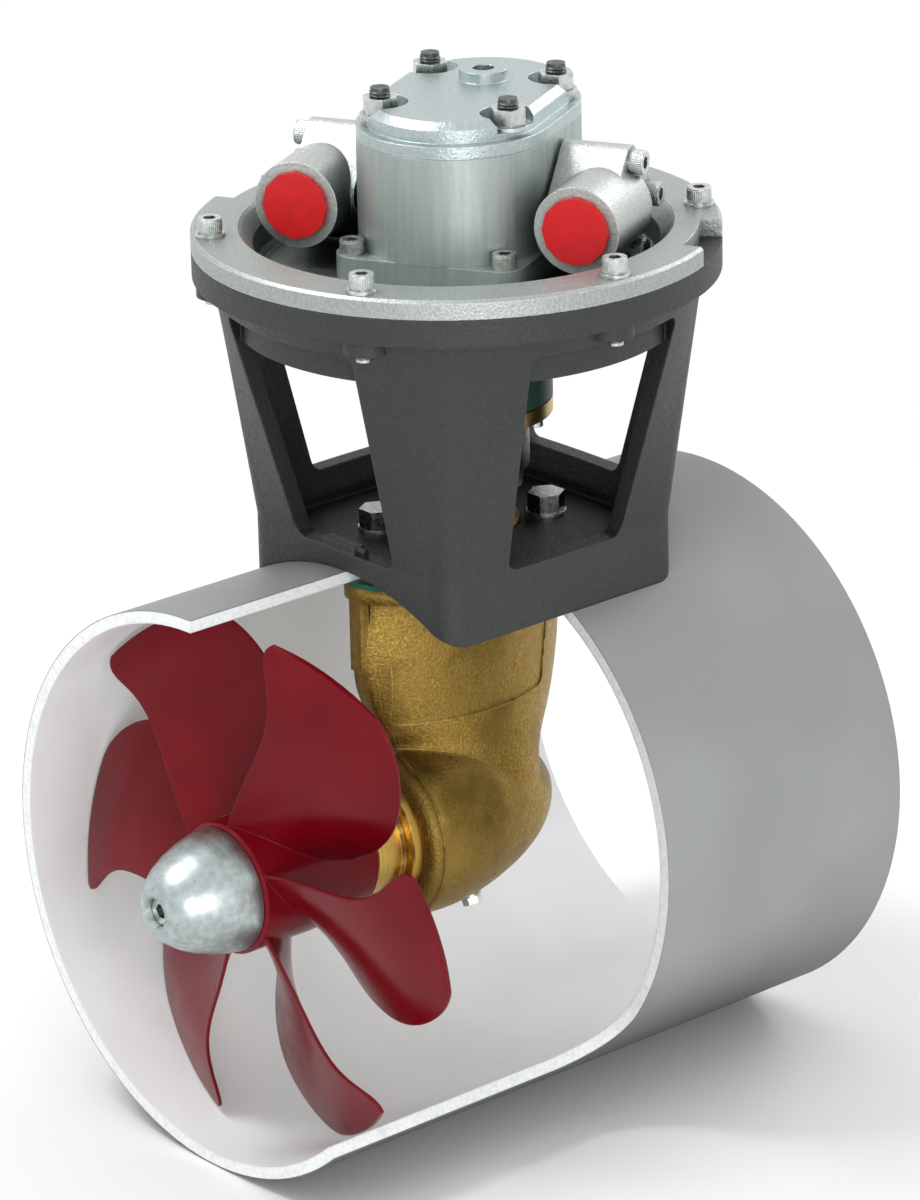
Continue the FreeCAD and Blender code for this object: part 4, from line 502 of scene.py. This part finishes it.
# Painted shade: near black over a reach of 90 mm, for the bolts deep in the bracket.
shaded_zinc_plate = plated_steel("shaded_zinc_steel", "#1c1d1c", 90)
black_oxide = blackened_steel()
upright_steel = ground_steel("ground_steel_upright", "Z")
lying_steel = ground_steel("ground_steel_lying", "Y")
chromate_ring = yellow_plated()
print(zinc_plate.name, shaded_zinc_plate.name, black_oxide.name, chromate_ring.name)

# %% [markdown]
# The nose cone is a cast zinc anode. It guards the bronze by wearing away first, so its skin is
# pale grey with lighter and darker blotches a few millimetres across, over the marks of the
# tool that turned it.

# %% Zinc anode
def zinc_anode():
    """Turned zinc with a blotched skin."""
    material, tree, shader = start("turned_zinc_anode", 1, 0.34)
    blotches = uneven(tree, 4, 0.38, 0.64, detail=5)
    specks = uneven(tree, 2.0, 0.62, 0.78, detail=2)
    colour = tinted(tree, blotches, "#a7b2b1", "#bdc8c8")
    colour = tinted(tree, specks, colour, "#8d9896")
    tree.links.new(colour, shader.inputs["Base Color"])
    tree.links.new(between(tree, blotches, 0.36, 0.27), shader.inputs["Roughness"])
    surface(tree, shader, turned(tree, "Y", 1.4), 0.02, 7)
    return material


nose_zinc = zinc_anode()
print(nose_zinc.name)

# %% [markdown]
# The propeller is moulded from a glass-filled plastic the colour of wine, and comes glossy from
# a polished mould. A glossy plastic reflects about 4 % of the light face on, and more and more
# towards its outline. That is turned down here, because the white world is brighter than a
# workshop. The transport plugs are plain red polyethylene, softer and waxier.

# %% Plastics
def burgundy_moulding():
    """Glossy wine-red moulding."""
    material, tree, shader = start("glossy_burgundy_moulding", 0, 0.3)
    colour = tinted(tree, uneven(tree, 40, 0.3, 0.7), "#64040f", "#710714")
    colour = tinted(tree, worn_edge(tree, 1.2, 0.4), colour, "#a01d2a")
    tree.links.new(colour, shader.inputs["Base Color"])
    tree.links.new(between(tree, uneven(tree, 14), 0.2, 0.27), shader.inputs["Roughness"])
    shader.inputs["IOR"].default_value = 1.46
    shader.inputs["Specular IOR Level"].default_value = 0.2
    surface(tree, shader, uneven(tree, 12), 0.03, 1.6)
    return material


def red_polyethylene():
    """Waxy red plugs."""
    material, tree, shader = start("red_polyethylene", 0, 0.5)
    tree.links.new(tinted(tree, uneven(tree, 6), "#cf0610", "#da0914"), shader.inputs["Base Color"])
    shader.inputs["IOR"].default_value = 1.51
    surface(tree, shader, uneven(tree, 3), 0.03, 0.6)
    return material


blade_plastic = burgundy_moulding()
plug_plastic = red_polyethylene()
print(blade_plastic.name, plug_plastic.name)

# %% [markdown]
# The rubbers are dull and reflect little. The coupling's sleeve is painted a near-black green as
# painted shade for the dark round it, the gasket under the leg's flange is a brighter green sheet,
# and the shaft seals are black.

# %% Rubbers
def rubber(name, dark, light, roughness):
    """Moulded rubber, a little dusty."""
    material, tree, shader = start(name, 0, roughness)
    tree.links.new(tinted(tree, uneven(tree, 6), dark, light), shader.inputs["Base Color"])
    shader.inputs["IOR"].default_value = 1.52
    surface(tree, shader, uneven(tree, 1.8), 0.05, 0.5)
    return material


seal_rubber = rubber("black_nitrile_rubber", "#151617", "#1d1e20", 0.55)
# Painted shade: the sleeve's near-black green is the colour of the shade round it.
sleeve_rubber = rubber("shade_green_sleeve_rubber", "#0f2f26", "#153a2f", 0.45)
gasket_rubber = rubber("green_gasket_rubber", "#0b4535", "#11533f", 0.4)
print(seal_rubber.name, sleeve_rubber.name, gasket_rubber.name)

# %% [markdown]
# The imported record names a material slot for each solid. One table gives the finish of each slot,
# and a shorter one holds the pieces that look unlike the rest of their slot, such as the
# extruded motor body among the castings.

# %% Give each solid its finish
finish_of_slot = {
    "gelcoat": tube_laminate,
    "grey_paint": bracket_paint,
    "cast_aluminium": bowl_casting,
    "zinc_steel": zinc_plate,
    "black_steel": black_oxide,
    "steel": upright_steel,
    "bearing_bronze": bush_bronze,
    "seal_rubber": seal_rubber,
    "red_plastic": plug_plastic,
    "coupling_rubber": sleeve_rubber,
    "plated_ring": chromate_ring,
    "leg_bronze": leg_bronze,
    "green_gasket": gasket_rubber,
    "turned_bronze": seal_bronze,
    "burgundy_plastic": blade_plastic,
    "nose_zinc": nose_zinc,
}
finish_of_node = {
    "motor_body": extrusion,
    "motor_flange": extrusion,
    "motor_cover": motor_cover,
    "left_port_elbow": elbow_casting,
    "right_port_elbow": elbow_casting,
    "prop_shaft": lying_steel,
    "nose_screw": zinc_plate,
    "leg_bolts": shaded_zinc_plate,
}
for part in frame["record"]["subparts"]:
    node = part["node"]
    finish = finish_of_node.get(node) or finish_of_slot[part["material_slot"]]
    for slot in nodes[node].material_slots:
        slot.material = finish

# %% [markdown]
# The solids have plain cylinders where the real screws have threads and knurled heads. Each screw
# is found in its solid's mesh as a separate island of points: the island's long direction is the
# screw's axis, and its widest ring is the head. Fine sleeves then go over the heads and the
# threads that show.

# %% Find the screws in a solid
def islands(node):
    """The points of each separate piece of a solid, in metres."""
    mesh = bmesh.new()
    mesh.from_mesh(nodes[node].data)
    mesh.transform(nodes[node].matrix_world)
    bmesh.ops.remove_doubles(mesh, verts=mesh.verts, dist=1e-6)
    waiting = set(mesh.verts)
    found = []
    while waiting:
        first = waiting.pop()
        piece = [first]
        for vertex in piece:
            for edge in vertex.link_edges:
                other = edge.other_vert(vertex)
                if other in waiting:
                    waiting.remove(other)
                    piece.append(other)
        found.append(np.array([v.co[:] for v in piece]))
    mesh.free()
    return found


def long_axis(points):
    """(a point on the long axis, its direction) of a round piece."""
    centre = (points.max(axis=0) + points.min(axis=0)) / 2
    direction = np.linalg.svd(points - points.mean(axis=0), full_matrices=False)[2][0]
    off = points - centre
    off = off - np.outer(off @ direction, direction)
    centre = centre + (off.max(axis=0) + off.min(axis=0)) / 2
    return centre, direction


def sleeve(name, node, centre, direction, rings):
    """A tube round an axis. Each ring holds its place along it and its radius at each step."""
    side = np.cross(direction, (0.3, 0.5, 0.8))
    side = side / np.linalg.norm(side)
    other = np.cross(direction, side)
    steps = len(rings[0][1])
    points = []
    faces = []
    for row, (along, radii) in enumerate(rings):
        for n, radius in enumerate(radii):
            turn = 2 * math.pi * n / steps
            outward = math.cos(turn) * side + math.sin(turn) * other
            points.append(centre + along * direction + radius * outward)
            if row:
                here = row * steps
                before = here - steps
                after = (n + 1) % steps
                faces.append((before + n, before + after, here + after, here + n))
    mesh = bpy.data.meshes.new(name)
    mesh.from_pydata([tuple(p) for p in points], [], faces)
    mesh.materials.append(nodes[node].material_slots[0].material)
    piece = bpy.data.objects.new(name, mesh)
    bpy.context.scene.collection.objects.link(piece)
    return piece


print(len(islands("ring_screws")), "ring screws,", len(islands("tie_studs")), "studs")

# %% [markdown]
# A knurl is a band of fine ridges that gives the fingers a grip. Each ridge takes four steps round
# the head, two low and two high, and the band stops short of the head's edges.

# %% Knurled heads
KNURL = 0.0011
KNURL_DEPTH = 0.00022
KNURL_MARGIN = 0.12
HEAD_SLACK = 0.0001


def knurled_heads(node):
    """A sleeve of fine upright ridges round each cylindrical head."""
    for n, points in enumerate(islands(node)):
        centre, direction = long_axis(points)
        along = (points - centre) @ direction
        radius = np.linalg.norm(points - centre - np.outer(along, direction), axis=1)
        head = radius.max()
        at_head = along[radius > head - HEAD_SLACK]
        foot, top = at_head.min(), at_head.max()
        ridges = round(2 * math.pi * head / KNURL)
        low_step = head + 0.2 * KNURL_DEPTH
        high_step = head + KNURL_DEPTH
        waves = [low_step, high_step, high_step, low_step] * ridges
        inside = [head - KNURL_DEPTH] * len(waves)
        gap = KNURL_MARGIN * (top - foot)
        piece = sleeve(f"{node}_knurl_{n}", node, centre, direction, [
            (foot + gap, inside), (foot + gap, waves), (top - gap, waves), (top - gap, inside)])
        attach(piece, body_of(nodes[node])[0])


for name in ("ring_screws", "motor_flange_screws", "elbow_screws"):
    knurled_heads(name)

# %% [markdown]
# A thread is a ridge that climbs by one pitch in each turn, so the sleeve's radius follows the
# turn and the height together. It runs in and out over a quarter of its length at each end.

# %% Screw threads
THREAD_DEPTH = 0.4
THREAD_STEPS = 32
ROWS_PER_TURN = 8
TIP_GAP = 0.15
RUN_OUT = 4


def threads(node, radius, pitch, length, end):
    """A helical sleeve near each screw's top (end 1) or foot (end -1), all in metres."""
    rows = round(ROWS_PER_TURN * length / pitch)
    for n, points in enumerate(islands(node)):
        centre, direction = long_axis(points)
        direction = direction if direction[2] > 0 else -direction
        along = (points - centre) @ direction
        tip = along.max() if end > 0 else along.min()
        rings = []
        for row in range(rows + 1):
            place = row * length / rows
            fade = min(1, RUN_OUT * place / length, RUN_OUT * (length - place) / length)
            radii = []
            for step in range(THREAD_STEPS):
                phase = (place / pitch - step / THREAD_STEPS) % 1
                ridge = 1 - abs(2 * phase - 1)
                radii.append(radius + THREAD_DEPTH * pitch * fade * ridge)
            rings.append((tip - end * (place + TIP_GAP * length), radii))
        piece = sleeve(f"{node}_thread_{n}", node, centre, direction, rings)
        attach(piece, body_of(nodes[node])[0])


# A stud of 10 mm has turns of 1.5 mm. They are drawn at 1.8 mm, so that they show here.
threads("tie_studs", radius=0.005, pitch=0.0018, length=0.0062, end=1)
threads("ring_screws", radius=0.004, pitch=0.00125, length=0.0032, end=-1)

# %% [markdown]
# The floor lies at the lowest point of the tube and is wide enough to fill the picture. Near the
# thruster it takes its soft shadow, and farther off it turns into the plain white behind.

# %% Floor
FLOOR_HALF = 12.0
FLOOR_GAP = 0.0005
SHADOW_REACH = 0.45
FADE_REACH = 2.5 * SHADOW_REACH


def floor():
    """A pale sheet under the thruster."""
    mesh = bpy.data.meshes.new("floor")
    corners = [(-1, -1), (1, -1), (1, 1), (-1, 1)]
    height = low.z - FLOOR_GAP
    mesh.from_pydata([(FLOOR_HALF * x, FLOOR_HALF * y, height) for x, y in corners], [], [(0, 1, 2, 3)])
    sheet = bpy.data.objects.new("floor", mesh)
    bpy.context.scene.collection.objects.link(sheet)
    material, tree, shader = start("pale_floor", 0, 0.9)
    shader.inputs["Base Color"].default_value = linear("#f7f7f7")
    spot = add(tree, "ShaderNodeTexCoord").outputs["Object"]
    away = add(tree, "ShaderNodeVectorMath", {0: spot}, operation="LENGTH").outputs["Value"]
    limits = {"Value": away, "From Min": SHADOW_REACH, "From Max": FADE_REACH}
    far = add(tree, "ShaderNodeMapRange", limits).outputs[0]
    far = add(tree, "ShaderNodeMath", {0: far, 1: seen_directly(tree)}, operation="MULTIPLY").outputs[0]
    white = add(tree, "ShaderNodeEmission", {"Color": linear("#ffffff"), "Strength": 1.0}).outputs[0]
    blend = add(tree, "ShaderNodeMixShader", {0: far, 1: shader.outputs[0], 2: white}).outputs[0]
    tree.links.new(blend, tree.nodes["Material Output"].inputs["Surface"])
    mesh.materials.append(material)
    return sheet


print(floor().name, "at", round(low.z, 4))
